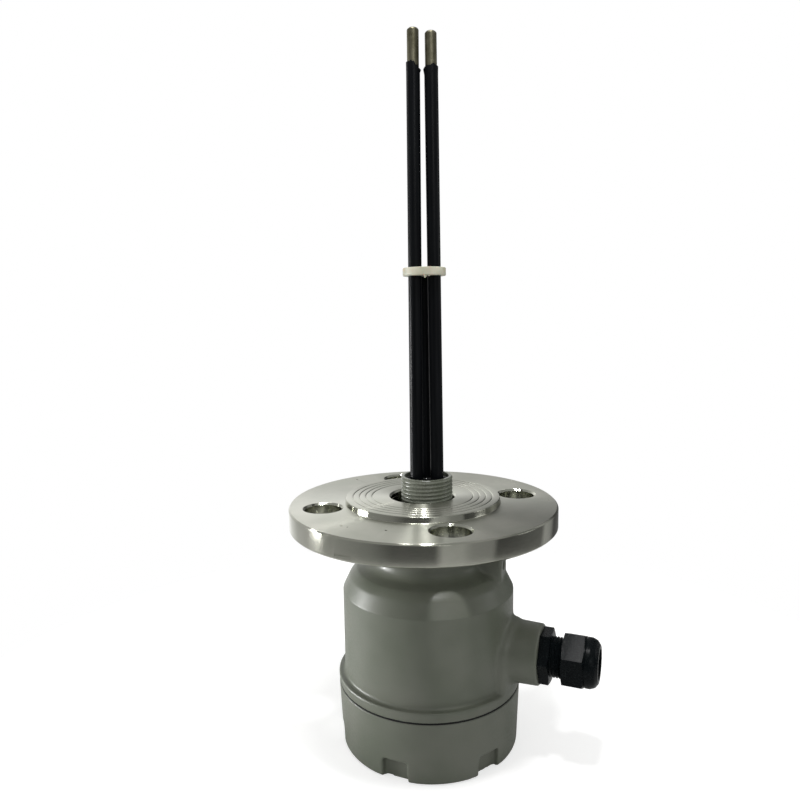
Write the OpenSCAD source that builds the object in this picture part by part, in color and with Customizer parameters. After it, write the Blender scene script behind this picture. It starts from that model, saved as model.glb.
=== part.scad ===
// Electrode level switch, standing on its screw cover with the probes up.
// Millimetres. Z = 0 is the flat bottom of the cover, Z runs along the electrodes,
// and X runs along the cable gland.

/* [Cover] */
// Height of the screw cover from its flat face to its rim
cover_h = 32; // [27:0.5:44]
// Thickness of the cover's flat end
cover_floor = 3.5; // [2:0.1:5]
// Wall of the cover around its thread
cover_wall = 3.4; // [2.4:0.1:5]
// How much smaller the cover is at its foot than at its rim
cover_draft = 1.4; // [0.4:0.1:2.5]
// Rounding of the cover's foot
cover_round = 1.6; // [0.4:0.1:2.5]
// Wall behind the grip notches
notch_wall = 3; // [2:0.1:4]
// Depth of a grip notch
notch_depth = 3.5; // [1:0.1:5]
// Height of a grip notch
notch_h = 10.5; // [5:0.5:14]
// Width of a grip notch in degrees
notch_deg = 15.5; // [8:0.5:24]
// Number of grip notches
notch_count = 6; // [3:1:10]
// Direction of the first notch
notch_phase = -31; // [-60:1:60]

/* [Cover thread and seal] */
// Length of the housing skirt that the cover screws on
skirt_len = 13; // [8:0.5:16]
// Wall of that skirt
skirt_wall = 4; // [2.5:0.1:5]
// Radial clearance of a screwed or running fit
run_gap = 0.08; // [0.02:0.01:0.1]
// Thickness of the flat seal in the seam
seal_t = 0.7; // [0.5:0.1:2]
// How far the seal stays behind the outer faces
seal_inset = 0.4; // [0.1:0.1:1.2]

/* [Housing] */
// Outer radius of the housing body
body_r = 45.2; // [44:0.1:52]
// Height of the body from the collar to the crease
body_h = 44.8; // [40:0.1:70]
// Height of the collar
collar_h = 5.2; // [3:0.1:9]
// Rounding radius of the shoulder
shoulder_round = 16.75; // [12:0.05:18]
// How far the centre of that rounding lies below the crease
shoulder_dip = 3.4; // [1:0.1:5]
// Outer radius of the neck
neck_r = 29; // [26:0.5:32]
// Height of the neck's top face above the crease
neck_h = 33.2; // [26:0.1:50]
// Radius of the pocket that holds the insulator head
pocket_r = 20; // [18:0.5:22]
// Metal left between the pocket and the neck's top face
neck_roof = 6; // [3:0.5:9]

/* [Spigot] */
// Outer radius of the threaded spigot
spigot_r = 13.5; // [13:0.1:16]
// Length of the spigot above the neck
spigot_len = 26.3; // [20:0.1:40]
// Bore radius of the spigot
spigot_bore_r = 11.6; // [11:0.1:12]
// Pitch of the spigot thread
spigot_pitch = 2; // [1:0.25:3]
// Depth of the spigot thread
spigot_thread = 0.55; // [0.2:0.05:0.8]

/* [Flange] */
// Outer radius of the flange
flange_r = 70; // [64:0.5:90]
// Thickness of the flange without its raised face
flange_t = 11.1; // [6:0.1:20]
// Radius of the raised face
raised_r = 40.7; // [38:0.1:42]
// Height of the raised face
raised_h = 3.1; // [1:0.1:5]
// Radius of the bore in the flange
flange_bore_r = 16.6; // [15:0.1:20]
// Radius of the circle of bolt holes
bolt_circle_r = 52.5; // [50:0.5:56]
// Radius of a bolt hole
bolt_hole_r = 9.5; // [5:0.5:10.5]
// Number of bolt holes
bolt_count = 4; // [3:1:8]
// Direction of the first bolt hole
bolt_phase = 35; // [0:1:89]
// Chamfer on the flange's edges
flange_chamfer = 0.8; // [0.2:0.1:2]
// Chamfer of the bolt holes and the bore
hole_chamfer = 1; // [0.3:0.1:1.5]
// Number of sealing grooves on the raised face
groove_count = 4; // [0:1:4]
// Radius of the inner groove
groove_first_r = 26.6; // [23:0.1:27]
// Distance between two grooves
groove_step = 3.3; // [2:0.1:3.5]
// Depth of a sealing groove
groove_depth = 0.4; // [0.1:0.1:0.8]
// How much of its bore clearance the loose flange has slid
flange_slid = 0.75; // [0:0.05:0.9]
// Direction in which the flange has slid
flange_slid_dir = -157; // [-180:1:180]
// Thickness of the gasket between the neck and the flange
gasket_t = 1.5; // [0.5:0.1:3]

/* [Electrodes] */
// Radius of an electrode rod
rod_r = 2.9; // [2:0.1:3]
// Wall of the sleeve on a rod
sleeve_wall = 0.5; // [0.3:0.1:0.8]
// Radius of the circle on which the three rods stand at their studs
rod_circle_r = 6.35; // [6.2:0.05:6.8]
// Direction of the left rod, the others follow at 120 degrees
rod_phase = -127.2; // [-180:0.1:180]
// Angle by which each rod leans in towards the axis
rod_lean = 0.29; // [0:0.01:0.4]
// Length of the left rod above the spigot
left_len = 221; // [160:0.5:300]
// Length of the right rod above the spigot
right_len = 219.4; // [160:0.5:300]
// Bare length at the left tip
left_bare = 16; // [5:0.5:30]
// Bare length at the right tip
right_bare = 15.6; // [5:0.5:30]
// Chamfer of a rod's tip
tip_chamfer = 0.6; // [0.2:0.1:1]
// Width of the driver slot in the left tip
tip_slot_w = 1.2; // [0.6:0.1:2]
// Depth of that slot
tip_slot_d = 1; // [0.4:0.1:2]
// Height of the spacer above the spigot
spacer_up = 103.1; // [40:0.1:130]
// Thickness of the spacer
spacer_t = 4.1; // [2:0.1:8]
// Radius of the spacer
spacer_r = 10.95; // [10.5:0.05:14]

/* [Insulator and potting] */
// Depth of the potting's face below the spigot's end
potting_recess = 2.8; // [1:0.1:5]
// Thickness of the potting
potting_t = 8; // [5:0.5:12]
// How deep the sleeves stand in the potting
sleeve_sunk = 2; // [1:0.5:4]
// How far the insulator head stays inside the pocket's mouth
head_inset = 0.5; // [0.2:0.1:2]

/* [Inner ends of the electrodes] */
// Radius of the stud at the inner end of a rod
stud_r = 2; // [1.5:0.1:2.5]
// Length of the stud below the insulator
stud_len = 10; // [8.6:0.1:14]
// Width across the flats of a stud nut
nut_flats = 7; // [6:0.1:8]
// Height of a stud nut
nut_h = 3.2; // [2:0.1:3.4]
// Radius of a stud washer
washer_r = 4.5; // [3.8:0.1:5]
// Thickness of a stud washer
washer_t = 1; // [0.5:0.1:1.2]
// Thickness of a ring lug
lug_t = 0.8; // [0.5:0.1:1]
// Radius of a ring lug's eye
lug_eye_r = 4.1; // [3.6:0.1:4.8]
// Outer radius of a ring lug's barrel
barrel_r = 1.9; // [1.6:0.1:2.4]
// Length of a ring lug's barrel
barrel_len = 6; // [4:0.5:8]
// Radius of an inner lead
lead_r = 1.2; // [0.8:0.1:1.3]
// Bend radius of an inner lead
lead_bend = 3.5; // [2.5:0.1:5]

/* [Control board] */
// Thickness of the board
board_t = 1.6; // [1:0.1:2.4]
// Gap between the board's edge and the housing's wall
board_gap = 10; // [9:0.5:10.5]
// Length of the pillars between the roof and the board
pillar_len = 21.9; // [20.5:0.1:26]
// Width across the flats of a pillar
pillar_flats = 5.5; // [5:0.1:6.5]
// Radius of the board screws
board_screw_r = 1.5; // [1:0.1:1.8]
// Direction of the two pillars beside the relay, the third stands opposite
pillar_dir = 62; // [56:1:66]
// Depth of the threads in the roof and in the pillars
board_screw_len = 6; // [4:0.5:8]
// Radius of a board screw's head
board_head_r = 2.9; // [2.2:0.1:3.2]
// Height of a board screw's head
board_head_h = 2; // [1:0.1:3]
// Distance from the terminals to the board's edge
part_margin = 0.8; // [0.4:0.1:1.2]

/* [Terminals] */
// Number of terminals
terminal_count = 5; // [3:1:6]
// Pitch of the terminals
terminal_pitch = 5.08; // [4.6:0.02:5.4]
// Depth of the terminal block
terminal_depth = 10; // [8:0.5:11]
// Height of the terminal block
terminal_h = 12; // [8:0.5:14]
// Radius of a terminal screw
terminal_screw_r = 1.8; // [1.2:0.1:2]
// Length of a terminal screw
terminal_screw_len = 4; // [2:0.5:5]
// How far a terminal screw lies below its mouth
terminal_screw_deep = 1; // [0.2:0.1:2]
// Width and height of a wire entry
entry_w = 3; // [2:0.1:3.6]
// Depth of a wire entry
entry_deep = 7; // [4:0.5:7.5]

/* [Relay, transformer and small parts] */
// Width of the relay
relay_w = 12.5; // [10:0.5:13]
// Length of the relay
relay_l = 28.5; // [20:0.5:30]
// Height of the relay
relay_h = 15.5; // [10:0.5:20]
// Width of the transformer
transformer_w = 15.5; // [12:0.5:16]
// Length of the transformer
transformer_l = 30; // [24:0.5:32]
// Height of the transformer
transformer_h = 22; // [16:0.5:24]
// Gap between neighbouring parts on the board
part_gap = 1.6; // [0.5:0.1:1.8]
// Radius of the capacitor
capacitor_r = 4; // [2.5:0.5:5]
// Height of the capacitor
capacitor_h = 12; // [8:0.5:16]
// Width of the amplifier chip
chip_w = 9.5; // [6:0.1:10]
// Length of the amplifier chip
chip_l = 6.4; // [5:0.1:8]
// Height of the amplifier chip
chip_h = 3.4; // [2:0.1:5]
// Side of the square sensitivity trimmer
trimmer_w = 7; // [6:0.1:9]
// Height of the trimmer
trimmer_h = 5; // [4:0.1:7]
// Radius of the trimmer's rotor
rotor_r = 2.4; // [1.5:0.1:2.6]
// Height of the trimmer's rotor
rotor_h = 3; // [2:0.1:3.6]
// Width of the slots in the screws and in the rotor
slot_w = 0.8; // [0.5:0.1:1]

/* [Earth terminal] */
// Radius of the earth column
column_r = 4.5; // [4:0.1:5]
// Height of the earth column's face above the gland's axis
column_up = 6; // [2:0.5:12]
// Direction of the earth column
column_dir = -100; // [-120:1:-80]
// Radius of the earth screw
earth_r = 2; // [1.5:0.1:2.5]
// Radius of the earth screw's head
earth_head_r = 3.6; // [3:0.1:4]
// Height of the earth screw's head
earth_head_h = 2.6; // [2:0.1:4]
// Length of the earth screw's thread
earth_len = 9; // [6:0.5:12]
// Thickness of the earth washer
earth_washer_t = 1; // [0.5:0.1:2]

/* [Neck lug and locking screw] */
// Direction of the lug
lug_dir = 5; // [0:1:20]
// Distance from the axis to the lug's end face
lug_reach = 40.8; // [39:0.1:42]
// Half of the lug's width
lug_half = 8.5; // [6:0.5:10]
// Height of the locking screw above the crease
lock_up = 14.6; // [13:0.1:18]
// Radius of the locking screw
lock_r = 2.5; // [2:0.1:3]
// How far the locking screw lies inside its mouth
lock_deep = 2.5; // [0.5:0.5:5]
// Width across the flats of its hexagon socket
lock_flats = 2.5; // [1.5:0.1:3]

/* [Gland boss] */
// Height of the gland's axis above the collar
gland_up = 16.1; // [15.5:0.1:22]
// Distance from the axis to the boss's end face
boss_reach = 61.2; // [58:0.1:75]
// Radius of the boss at its end
boss_r = 15.1; // [14.3:0.1:17]
// How much wider the boss is at the body
boss_draft = 0.9; // [0:0.1:2]
// Width of the flat pad beside the boss
pad_extra = 0.7; // [0.2:0.1:2]

/* [Cable gland] */
// Radius of the gland thread
gland_thread_r = 10; // [8.5:0.1:10.4]
// Pitch of the gland thread
gland_pitch = 1.5; // [1:0.25:2]
// Depth of the gland thread
gland_thread = 0.5; // [0.2:0.05:0.7]
// Length of the thread inside the boss
gland_in = 10; // [6:0.5:16]
// Width across the flats of the gland's hexagons
gland_flats = 24.3; // [23:0.1:26]
// Thickness of the gland's fixed hexagon
gland_hex_t = 5.3; // [3:0.1:8]
// Thread that shows between the fixed hexagon and the nut
gland_shown = 5.7; // [3.5:0.1:8]
// Thread inside the nut
gland_caught = 7; // [5:0.1:9]
// Length of the clamping fingers
finger_len = 4.2; // [3:0.1:5]
// Outer radius of the clamping fingers
finger_r = 9; // [8.4:0.1:9.2]
// Number of slots between the fingers
finger_slots = 8; // [4:1:12]
// Width of a slot between the fingers
finger_slot_w = 1; // [0.6:0.1:1.4]
// Radius of the cable passage in the gland body
passage_r = 6.4; // [5:0.1:7]
// Radius of the rubber seal
gland_seal_r = 7.5; // [7:0.1:7.6]
// Radius of the cable hole in the rubber seal
cable_r = 4.5; // [3:0.1:5]
// Length of the rubber seal
gland_seal_len = 11; // [8:0.5:12]
// How far the nut can still be tightened
gland_take_up = 2.25; // [1:0.25:3]
// Length of the nut's hexagon
nut_hex_len = 10.6; // [9:0.1:14]
// Length of the nut's round nose
nut_nose_len = 6.8; // [6:0.1:10]
// Outer radius of the nose at its end
nut_nose_r = 9.1; // [8.6:0.1:10]
// Radius of the nut's mouth
nut_mouth_r = 7.4; // [6:0.1:7.8]
// Turn of the nut's hexagon from a corner straight up
nut_turn = 5.5; // [-30:0.5:30]
// Width of the flat ring under the fixed hexagon
gland_ring_w = 1.4; // [0.8:0.1:1.6]
// Thickness of that ring
gland_ring_t = 1.3; // [0.6:0.1:2]

/* [Hidden] */
fine = 96;
over = 1;

// Heights of the main faces
z_collar = cover_h + seal_t;
z_skirt = z_collar - skirt_len;
z_ledge = z_collar + collar_h;
z_crease = z_ledge + body_h;
z_neck = z_crease + neck_h;
z_flange = z_neck + gasket_t;
z_spigot = z_neck + spigot_len;
z_gland = z_ledge + gland_up;
z_lock = z_crease + lock_up;

// Radii that follow from the body
screw_r = body_r - 0.2;
cavity_r = screw_r - skirt_wall;
cover_rim_r = screw_r + cover_wall;
cover_foot_r = cover_rim_r - cover_draft;
collar_r = cover_rim_r + 0.1;
dome_r = body_r - sqrt(shoulder_round * shoulder_round - shoulder_dip * shoulder_dip);
dome_z = z_crease - shoulder_dip;
z_roof = dome_z + cavity_r - dome_r;
z_pocket = z_neck - neck_roof;

// Insulator, potting and electrodes
z_head = z_roof + head_inset;
z_potting_top = z_spigot - potting_recess;
z_potting = z_potting_top - potting_t;
z_sleeve = z_potting_top - sleeve_sunk;
sleeve_r = rod_r + sleeve_wall;
z_spacer = z_spigot + spacer_up;
z_spacer_top = z_spacer + spacer_t;
z_left = z_spigot + left_len;
z_right = z_spigot + right_len;
rod_dirs = [rod_phase, rod_phase + 120, rod_phase + 240];

// Stack on a stud, from the insulator down
z_nut_1 = z_head - washer_t - nut_h;
z_lug = z_nut_1 - lug_t;
z_nut_2 = z_lug - nut_h;
z_stud = z_head - stud_len;
z_barrel = z_lug + lug_t / 2;
barrel_start = rod_circle_r + lug_eye_r + 1.6;
barrel_end = barrel_start + barrel_len;
lead_x = barrel_end + 2 + lead_bend;

// Control board and the parts on its lower face
board_r = cavity_r - board_gap;
z_board_top = z_roof - pillar_len;
z_board = z_board_top - board_t;
pillar_x = (pocket_r + dome_r) / 2;
pillar_dirs = [pillar_dir, 180, -pillar_dir];
terminal_len = terminal_count * terminal_pitch;
terminal_x = sqrt(board_r * board_r - terminal_len * terminal_len / 4) - part_margin - terminal_depth;
relay_x = terminal_x - part_gap - relay_w;
transformer_x = relay_x - part_gap - transformer_w;
side_x = pillar_x * cos(pillar_dir) - board_head_r - part_gap;
side_y = relay_l / 2 + part_gap;
trimmer_x = side_x - trimmer_w;
chip_x = side_x - chip_w;
capacitor_x = chip_x - part_gap - capacitor_r;
z_column = z_gland + column_up;
column_x = board_r + 1 + column_r;

// Gland stations along its axis
x_hex = boss_reach + gland_hex_t;
x_nut = x_hex + gland_shown;
x_caught = x_nut + gland_caught;
x_finger = x_caught + finger_len;
x_seal = x_finger + 0.5 - gland_seal_len;
x_seat = x_seal - gland_take_up - 0.25;
x_nose = x_nut + nut_hex_len;
x_mouth = x_nose + nut_nose_len;
x_cone = x_finger + gland_take_up + 0.3;
finger_bore_r = gland_seal_r + run_gap;
nut_bore_r = gland_thread_r + run_gap;
nut_room_r = max(finger_r + 0.3, nut_bore_r - 0.5);

// Flange place
flange_shift = flange_slid * (flange_bore_r - spigot_r);

// Points of an arc about (x, y)
function arc(x, y, r, a0, a1, n) =
    [for (i = [0 : n]) let (a = a0 + (a1 - a0) * i / n) [x + r * cos(a), y + r * sin(a)]];

// Points of a ridged thread outline going up from y0
function ridges(r, depth, pitch, y0, count) =
    [for (i = [0 : count - 1], p = [[r - depth, 0.1], [r, 0.4], [r, 0.7]])
        [p.x, y0 + (i + p.y) * pitch]];

// Radius of the corners of a hexagon from its width across the flats
function corner(flats) = flats / 2 / cos(30);

module hexagon(flats, h) {
    cylinder(r = corner(flats), h = h, $fn = 6);
}

module tube(r_out, r_in, h) {
    difference() {
        cylinder(r = r_out, h = h, $fn = fine);
        translate([0, 0, -over]) cylinder(r = r_in, h = h + 2 * over, $fn = fine);
    }
}

// Places children around the axis, each turned to face outwards
module around(dirs, r) {
    for (d = dirs) rotate([0, 0, d]) translate([r, 0, 0]) children();
}

// Local Z becomes the gland's axis, from the part's axis outwards
module on_gland() {
    translate([0, 0, z_gland]) rotate([0, 90, 0]) children();
}

// Housing

module housing_outline() {
    crease_deg = asin(shoulder_dip / shoulder_round);
    neck_deg = acos((neck_r - dome_r) / shoulder_round);
    turns = floor((spigot_len - 2) / spigot_pitch);
    polygon(concat(
        [[0, z_skirt], [screw_r - 1, z_skirt], [screw_r, z_skirt + 1], [screw_r, z_collar],
         [collar_r, z_collar], [collar_r, z_ledge - 0.8], [collar_r - 0.8, z_ledge], [body_r, z_ledge]],
        arc(dome_r, dome_z, shoulder_round, crease_deg, neck_deg, 14),
        [[neck_r, z_neck - 1], [neck_r - 1, z_neck]],
        [[spigot_r - spigot_thread, z_neck]],
        ridges(spigot_r, spigot_thread, spigot_pitch, z_neck, turns),
        [[spigot_r - spigot_thread, z_neck + turns * spigot_pitch],
         [spigot_r - spigot_thread, z_spigot - 0.3],
         [spigot_r - spigot_thread - 0.3, z_spigot], [0, z_spigot]]));
}

module cavity_outline() {
    polygon(concat(
        [[0, z_skirt - over], [cavity_r, z_skirt - over]],
        arc(dome_r, dome_z, cavity_r - dome_r, 0, 90, 12),
        [[pocket_r, z_roof], [pocket_r, z_pocket], [spigot_bore_r, z_pocket],
         [spigot_bore_r, z_spigot + over], [0, z_spigot + over]]));
}

module gland_pad() {
    intersection() {
        translate([0, 0, z_ledge - over]) cylinder(r = collar_r, h = body_h, $fn = fine);
        union() {
            on_gland() cylinder(r = boss_r + boss_draft + pad_extra, h = collar_r + over, $fn = fine);
            translate([0, -boss_r - boss_draft - pad_extra, z_ledge - over])
                cube([collar_r + over, 2 * (boss_r + boss_draft + pad_extra), gland_up + over]);
        }
    }
}

module neck_lug() {
    rotate([0, 0, lug_dir]) {
        translate([0, -lug_half, z_crease - 1]) cube([lug_reach, 2 * lug_half, lock_up + 1]);
        translate([0, 0, z_lock]) rotate([0, 90, 0]) cylinder(r = lug_half, h = lug_reach, $fn = fine);
    }
}

module earth_column() {
    height = z_neck - z_column;
    rotate([0, 0, column_dir]) translate([column_x, 0, z_column]) {
        cylinder(r = column_r, h = height, $fn = fine);
        translate([0, -column_r, 0]) cube([cavity_r - column_x + over, 2 * column_r, height]);
    }
}

module housing() {
    color("#74786f") difference() {
        union() {
            rotate_extrude($fn = fine) housing_outline();
            gland_pad();
            on_gland() translate([0, 0, cavity_r - 3])
                cylinder(r1 = boss_r + boss_draft, r2 = boss_r, h = boss_reach - cavity_r + 3, $fn = fine);
            neck_lug();
        }
        difference() {
            rotate_extrude($fn = fine) cavity_outline();
            earth_column();
        }
        on_gland() translate([0, 0, dome_r])
            cylinder(r = gland_thread_r, h = boss_reach - dome_r + over, $fn = fine);
        rotate([0, 0, lug_dir]) translate([pocket_r - over, 0, z_lock]) rotate([0, 90, 0])
            cylinder(r = lock_r, h = lug_reach - pocket_r + 2 * over, $fn = fine);
        around(pillar_dirs, pillar_x) translate([0, 0, z_roof - over])
            cylinder(r = board_screw_r, h = board_screw_len + over, $fn = fine);
        rotate([0, 0, column_dir]) translate([column_x, 0, z_column - over])
            cylinder(r = earth_r, h = earth_len + over, $fn = fine);
    }
}

// Cover and its seal

module cover_outline() {
    z_thread = z_skirt - 1.2;
    room_r = cover_foot_r - notch_depth - notch_wall;
    polygon(concat(
        [[0, 0]],
        arc(cover_foot_r - cover_round, cover_round, cover_round, -90, 0, 6),
        [[cover_rim_r, cover_h], [screw_r + run_gap, cover_h], [screw_r + run_gap, z_thread],
         [room_r, z_thread], [room_r, cover_floor], [0, cover_floor]]));
}

module cover() {
    color("#74786f") difference() {
        rotate_extrude($fn = fine) cover_outline();
        for (i = [0 : notch_count - 1])
            rotate([0, 0, notch_phase + i * 360 / notch_count - notch_deg / 2])
                rotate_extrude(angle = notch_deg, $fn = fine)
                    translate([cover_foot_r - notch_depth, -over])
                        square([notch_depth + 3, notch_h + over]);
    }
}

module cover_seal() {
    color("#141414") translate([0, 0, cover_h])
        tube(collar_r - seal_inset, screw_r + 0.3, seal_t);
}

// Flange and gasket

module flange_outline() {
    z_face = flange_t + raised_h;
    polygon(concat(
        [[flange_bore_r + hole_chamfer, 0], [flange_r - flange_chamfer, 0], [flange_r, flange_chamfer],
         [flange_r, flange_t - flange_chamfer], [flange_r - flange_chamfer, flange_t],
         [raised_r, flange_t], [raised_r - 0.6, z_face]],
        [for (i = [groove_count - 1 : -1 : 0], side = [1, 0, -1])
            [groove_first_r + i * groove_step + side * groove_depth,
             z_face - (1 - abs(side)) * groove_depth]],
        [[flange_bore_r + hole_chamfer, z_face], [flange_bore_r, z_face - hole_chamfer],
         [flange_bore_r, hole_chamfer]]));
}

module bolt_hole() {
    translate([0, 0, -over]) cylinder(r = bolt_hole_r, h = flange_t + 2 * over, $fn = fine);
    translate([0, 0, flange_t - hole_chamfer])
        cylinder(r1 = bolt_hole_r, r2 = bolt_hole_r + 2 * hole_chamfer, h = 2 * hole_chamfer, $fn = fine);
    translate([0, 0, -hole_chamfer])
        cylinder(r1 = bolt_hole_r + 2 * hole_chamfer, r2 = bolt_hole_r, h = 2 * hole_chamfer, $fn = fine);
}

module flange() {
    color("#b9bcae") rotate([0, 0, flange_slid_dir]) translate([flange_shift, 0, z_flange])
        rotate([0, 0, bolt_phase - flange_slid_dir]) difference() {
            rotate_extrude($fn = fine) flange_outline();
            for (i = [0 : bolt_count - 1]) rotate([0, 0, i * 360 / bolt_count])
                translate([bolt_circle_r, 0, 0]) bolt_hole();
        }
}

module flange_gasket() {
    color("#3c4a3e") translate([0, 0, z_neck]) tube(neck_r - 2, spigot_r + 0.3, gasket_t);
}

// Electrodes: an upright stud, then one straight rod that leans in towards the axis

module at_rod(i) {
    rotate([0, 0, rod_dirs[i]]) translate([rod_circle_r, 0, 0]) children();
}

module leaning(i) {
    at_rod(i) translate([0, 0, z_head]) rotate([0, -rod_lean, 0]) children();
}

// What children have above height z
module above(z) {
    intersection() {
        children();
        translate([-spacer_r, -spacer_r, z]) cube([2 * spacer_r, 2 * spacer_r, z_left]);
    }
}

// Bore of radius r along a rod's axis
module rod_bore(i, r) {
    leaning(i) translate([0, 0, -over]) cylinder(r = r, h = z_left - z_head + 2 * over, $fn = fine);
}

module rod(i, z_end) {
    length = z_end - z_head;
    above(z_head) leaning(i) rotate_extrude($fn = fine) polygon([[0, -over], [rod_r, -over],
        [rod_r, length - tip_chamfer], [rod_r - tip_chamfer, length], [0, length]]);
    at_rod(i) translate([0, 0, z_stud]) cylinder(r = stud_r, h = z_head - z_stud + over, $fn = fine);
}

// A sleeve is a leaning tube with a level foot in the potting
module sleeve(i, z_end) {
    above(z_sleeve) leaning(i) tube(sleeve_r, rod_r, z_end - z_head);
}

module electrode_left() {
    color("#8f9186") difference() {
        rod(0, z_left);
        leaning(0) translate([-rod_r - over, -tip_slot_w / 2, z_left - z_head - tip_slot_d])
            cube([2 * (rod_r + over), tip_slot_w, tip_slot_d + over]);
    }
}

module electrode_right() {
    color("#8f9186") rod(1, z_right);
}

module electrode_short() {
    color("#8f9186") rod(2, z_spacer_top);
}

module sleeve_left() {
    color("#15181a") sleeve(0, z_left - left_bare);
}

module sleeve_right() {
    color("#15181a") sleeve(1, z_right - right_bare);
}

module sleeve_short() {
    color("#15181a") sleeve(2, z_spacer_top);
}

module spacer() {
    color("#c9c7b4") difference() {
        union() {
            translate([0, 0, z_spacer]) cylinder(r = spacer_r, h = spacer_t, $fn = fine);
            rotate([0, 0, rod_phase + 60]) translate([spacer_r - 1.5, 0, z_spacer - 1.4])
                cylinder(r1 = 0.4, r2 = 1.35, h = 1.4 + spacer_t / 2, $fn = fine);
        }
        for (i = [0 : 2]) rod_bore(i, sleeve_r);
    }
}

module insulator() {
    color("#e6e4da") difference() {
        union() {
            translate([0, 0, z_head]) cylinder(r = pocket_r - 0.05, h = z_pocket - z_head, $fn = fine);
            translate([0, 0, z_head]) cylinder(r = spigot_bore_r - 0.05, h = z_potting - z_head, $fn = fine);
        }
        for (i = [0 : 2]) rod_bore(i, rod_r);
    }
}

module potting() {
    color("#0d0e10") difference() {
        translate([0, 0, z_potting]) cylinder(r = spigot_bore_r, h = potting_t, $fn = fine);
        for (i = [0 : 2]) rod_bore(i, rod_r);
        for (i = [0 : 2]) above(z_sleeve) rod_bore(i, sleeve_r);
    }
}

// Inner ends of the electrodes

module electrode_washers() {
    color("#b8b8b0") for (i = [0 : 2]) at_rod(i) translate([0, 0, z_head - washer_t])
        tube(washer_r, stud_r, washer_t);
}

module electrode_nuts() {
    color("#b8b8b0") for (i = [0 : 2], z = [z_nut_1, z_nut_2]) at_rod(i) translate([0, 0, z])
        difference() {
            hexagon(nut_flats, nut_h);
            translate([0, 0, -over]) cylinder(r = stud_r, h = nut_h + 2 * over, $fn = fine);
        }
}

module ring_lugs() {
    color("#c4b27a") for (i = [0 : 2]) at_rod(i) difference() {
        union() {
            translate([0, 0, z_lug]) cylinder(r = lug_eye_r, h = lug_t, $fn = fine);
            translate([0, -1.5, z_lug]) cube([barrel_start - rod_circle_r + 1, 3, lug_t]);
            translate([barrel_start - rod_circle_r, 0, z_barrel]) rotate([0, 90, 0])
                cylinder(r = barrel_r, h = barrel_len, $fn = fine);
        }
        translate([0, 0, z_lug - over]) cylinder(r = stud_r, h = lug_t + 2 * over, $fn = fine);
        translate([barrel_end - rod_circle_r - barrel_len + 2, 0, z_barrel]) rotate([0, 90, 0])
            cylinder(r = lead_r, h = barrel_len, $fn = fine);
    }
}

// A lead leaves its barrel outwards, bends down and ends in the board
module lead(i) {
    rotate([0, 0, rod_dirs[i]]) {
        translate([barrel_start + 2, 0, z_barrel]) rotate([0, 90, 0])
            cylinder(r = lead_r, h = lead_x - lead_bend - barrel_start - 2, $fn = fine);
        translate([lead_x - lead_bend, 0, z_barrel - lead_bend]) rotate([90, 0, 0])
            rotate_extrude(angle = 90, $fn = fine) translate([lead_bend, 0]) circle(r = lead_r, $fn = fine);
        translate([lead_x, 0, z_board])
            cylinder(r = lead_r, h = z_barrel - lead_bend - z_board, $fn = fine);
    }
}

module lead_left() {
    color("#a03428") lead(0);
}

module lead_right() {
    color("#2f55a0") lead(1);
}

module lead_short() {
    color("#d8c23c") lead(2);
}

// Control board

module control_board() {
    color("#2f6b45") difference() {
        translate([0, 0, z_board]) cylinder(r = board_r, h = board_t, $fn = fine);
        around(pillar_dirs, pillar_x) translate([0, 0, z_board - over])
            cylinder(r = board_screw_r + run_gap, h = board_t + 2 * over, $fn = fine);
        around(rod_dirs, lead_x) translate([0, 0, z_board - over])
            cylinder(r = lead_r, h = board_t + 2 * over, $fn = fine);
    }
}

module board_pillars() {
    color("#c2a75a") around(pillar_dirs, pillar_x) difference() {
        union() {
            translate([0, 0, z_board_top]) hexagon(pillar_flats, pillar_len);
            translate([0, 0, z_roof - over]) cylinder(r = board_screw_r, h = board_screw_len, $fn = fine);
        }
        translate([0, 0, z_board_top - over])
            cylinder(r = board_screw_r, h = board_screw_len + over, $fn = fine);
    }
}

module board_screws() {
    color("#c8c8c4") around(pillar_dirs, pillar_x) difference() {
        union() {
            translate([0, 0, z_board - board_head_h])
                cylinder(r = board_head_r, h = board_head_h, $fn = fine);
            translate([0, 0, z_board - over])
                cylinder(r = board_screw_r, h = board_t + board_screw_len, $fn = fine);
        }
        translate([-board_head_r - over, -slot_w / 2, z_board - board_head_h - over])
            cube([2 * (board_head_r + over), slot_w, board_head_h / 2 + over]);
    }
}

// Places children at each terminal's screw axis, on the block's lower face
module each_terminal() {
    for (i = [0 : terminal_count - 1]) translate([terminal_x + terminal_depth / 2,
        (i + 0.5) * terminal_pitch - terminal_len / 2, z_board - terminal_h]) children();
}

module terminal_block() {
    color("#3f7d4e") difference() {
        translate([terminal_x, -terminal_len / 2, z_board - terminal_h])
            cube([terminal_depth, terminal_len, terminal_h]);
        each_terminal() {
            translate([0, 0, -over]) cylinder(r = terminal_screw_r,
                h = terminal_screw_deep + terminal_screw_len + over, $fn = fine);
            translate([terminal_depth / 2 - entry_deep, -entry_w / 2, terminal_h - 1.5 - entry_w])
                cube([entry_deep + over, entry_w, entry_w]);
        }
    }
}

module terminal_screws() {
    color("#c8c8c4") each_terminal() translate([0, 0, terminal_screw_deep]) difference() {
        cylinder(r = terminal_screw_r, h = terminal_screw_len, $fn = fine);
        translate([-terminal_screw_r - over, -slot_w / 2, -over])
            cube([2 * (terminal_screw_r + over), slot_w, over + 1]);
    }
}

module relay() {
    color("#20242a") translate([relay_x, -relay_l / 2, z_board - relay_h])
        cube([relay_w, relay_l, relay_h]);
}

module transformer() {
    color("#2b4a7c") translate([transformer_x, -transformer_l / 2, z_board - transformer_h])
        cube([transformer_w, transformer_l, transformer_h]);
}

module capacitor() {
    color("#26334a") translate([capacitor_x, -side_y - capacitor_r, z_board - capacitor_h])
        cylinder(r = capacitor_r, h = capacitor_h, $fn = fine);
}

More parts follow.
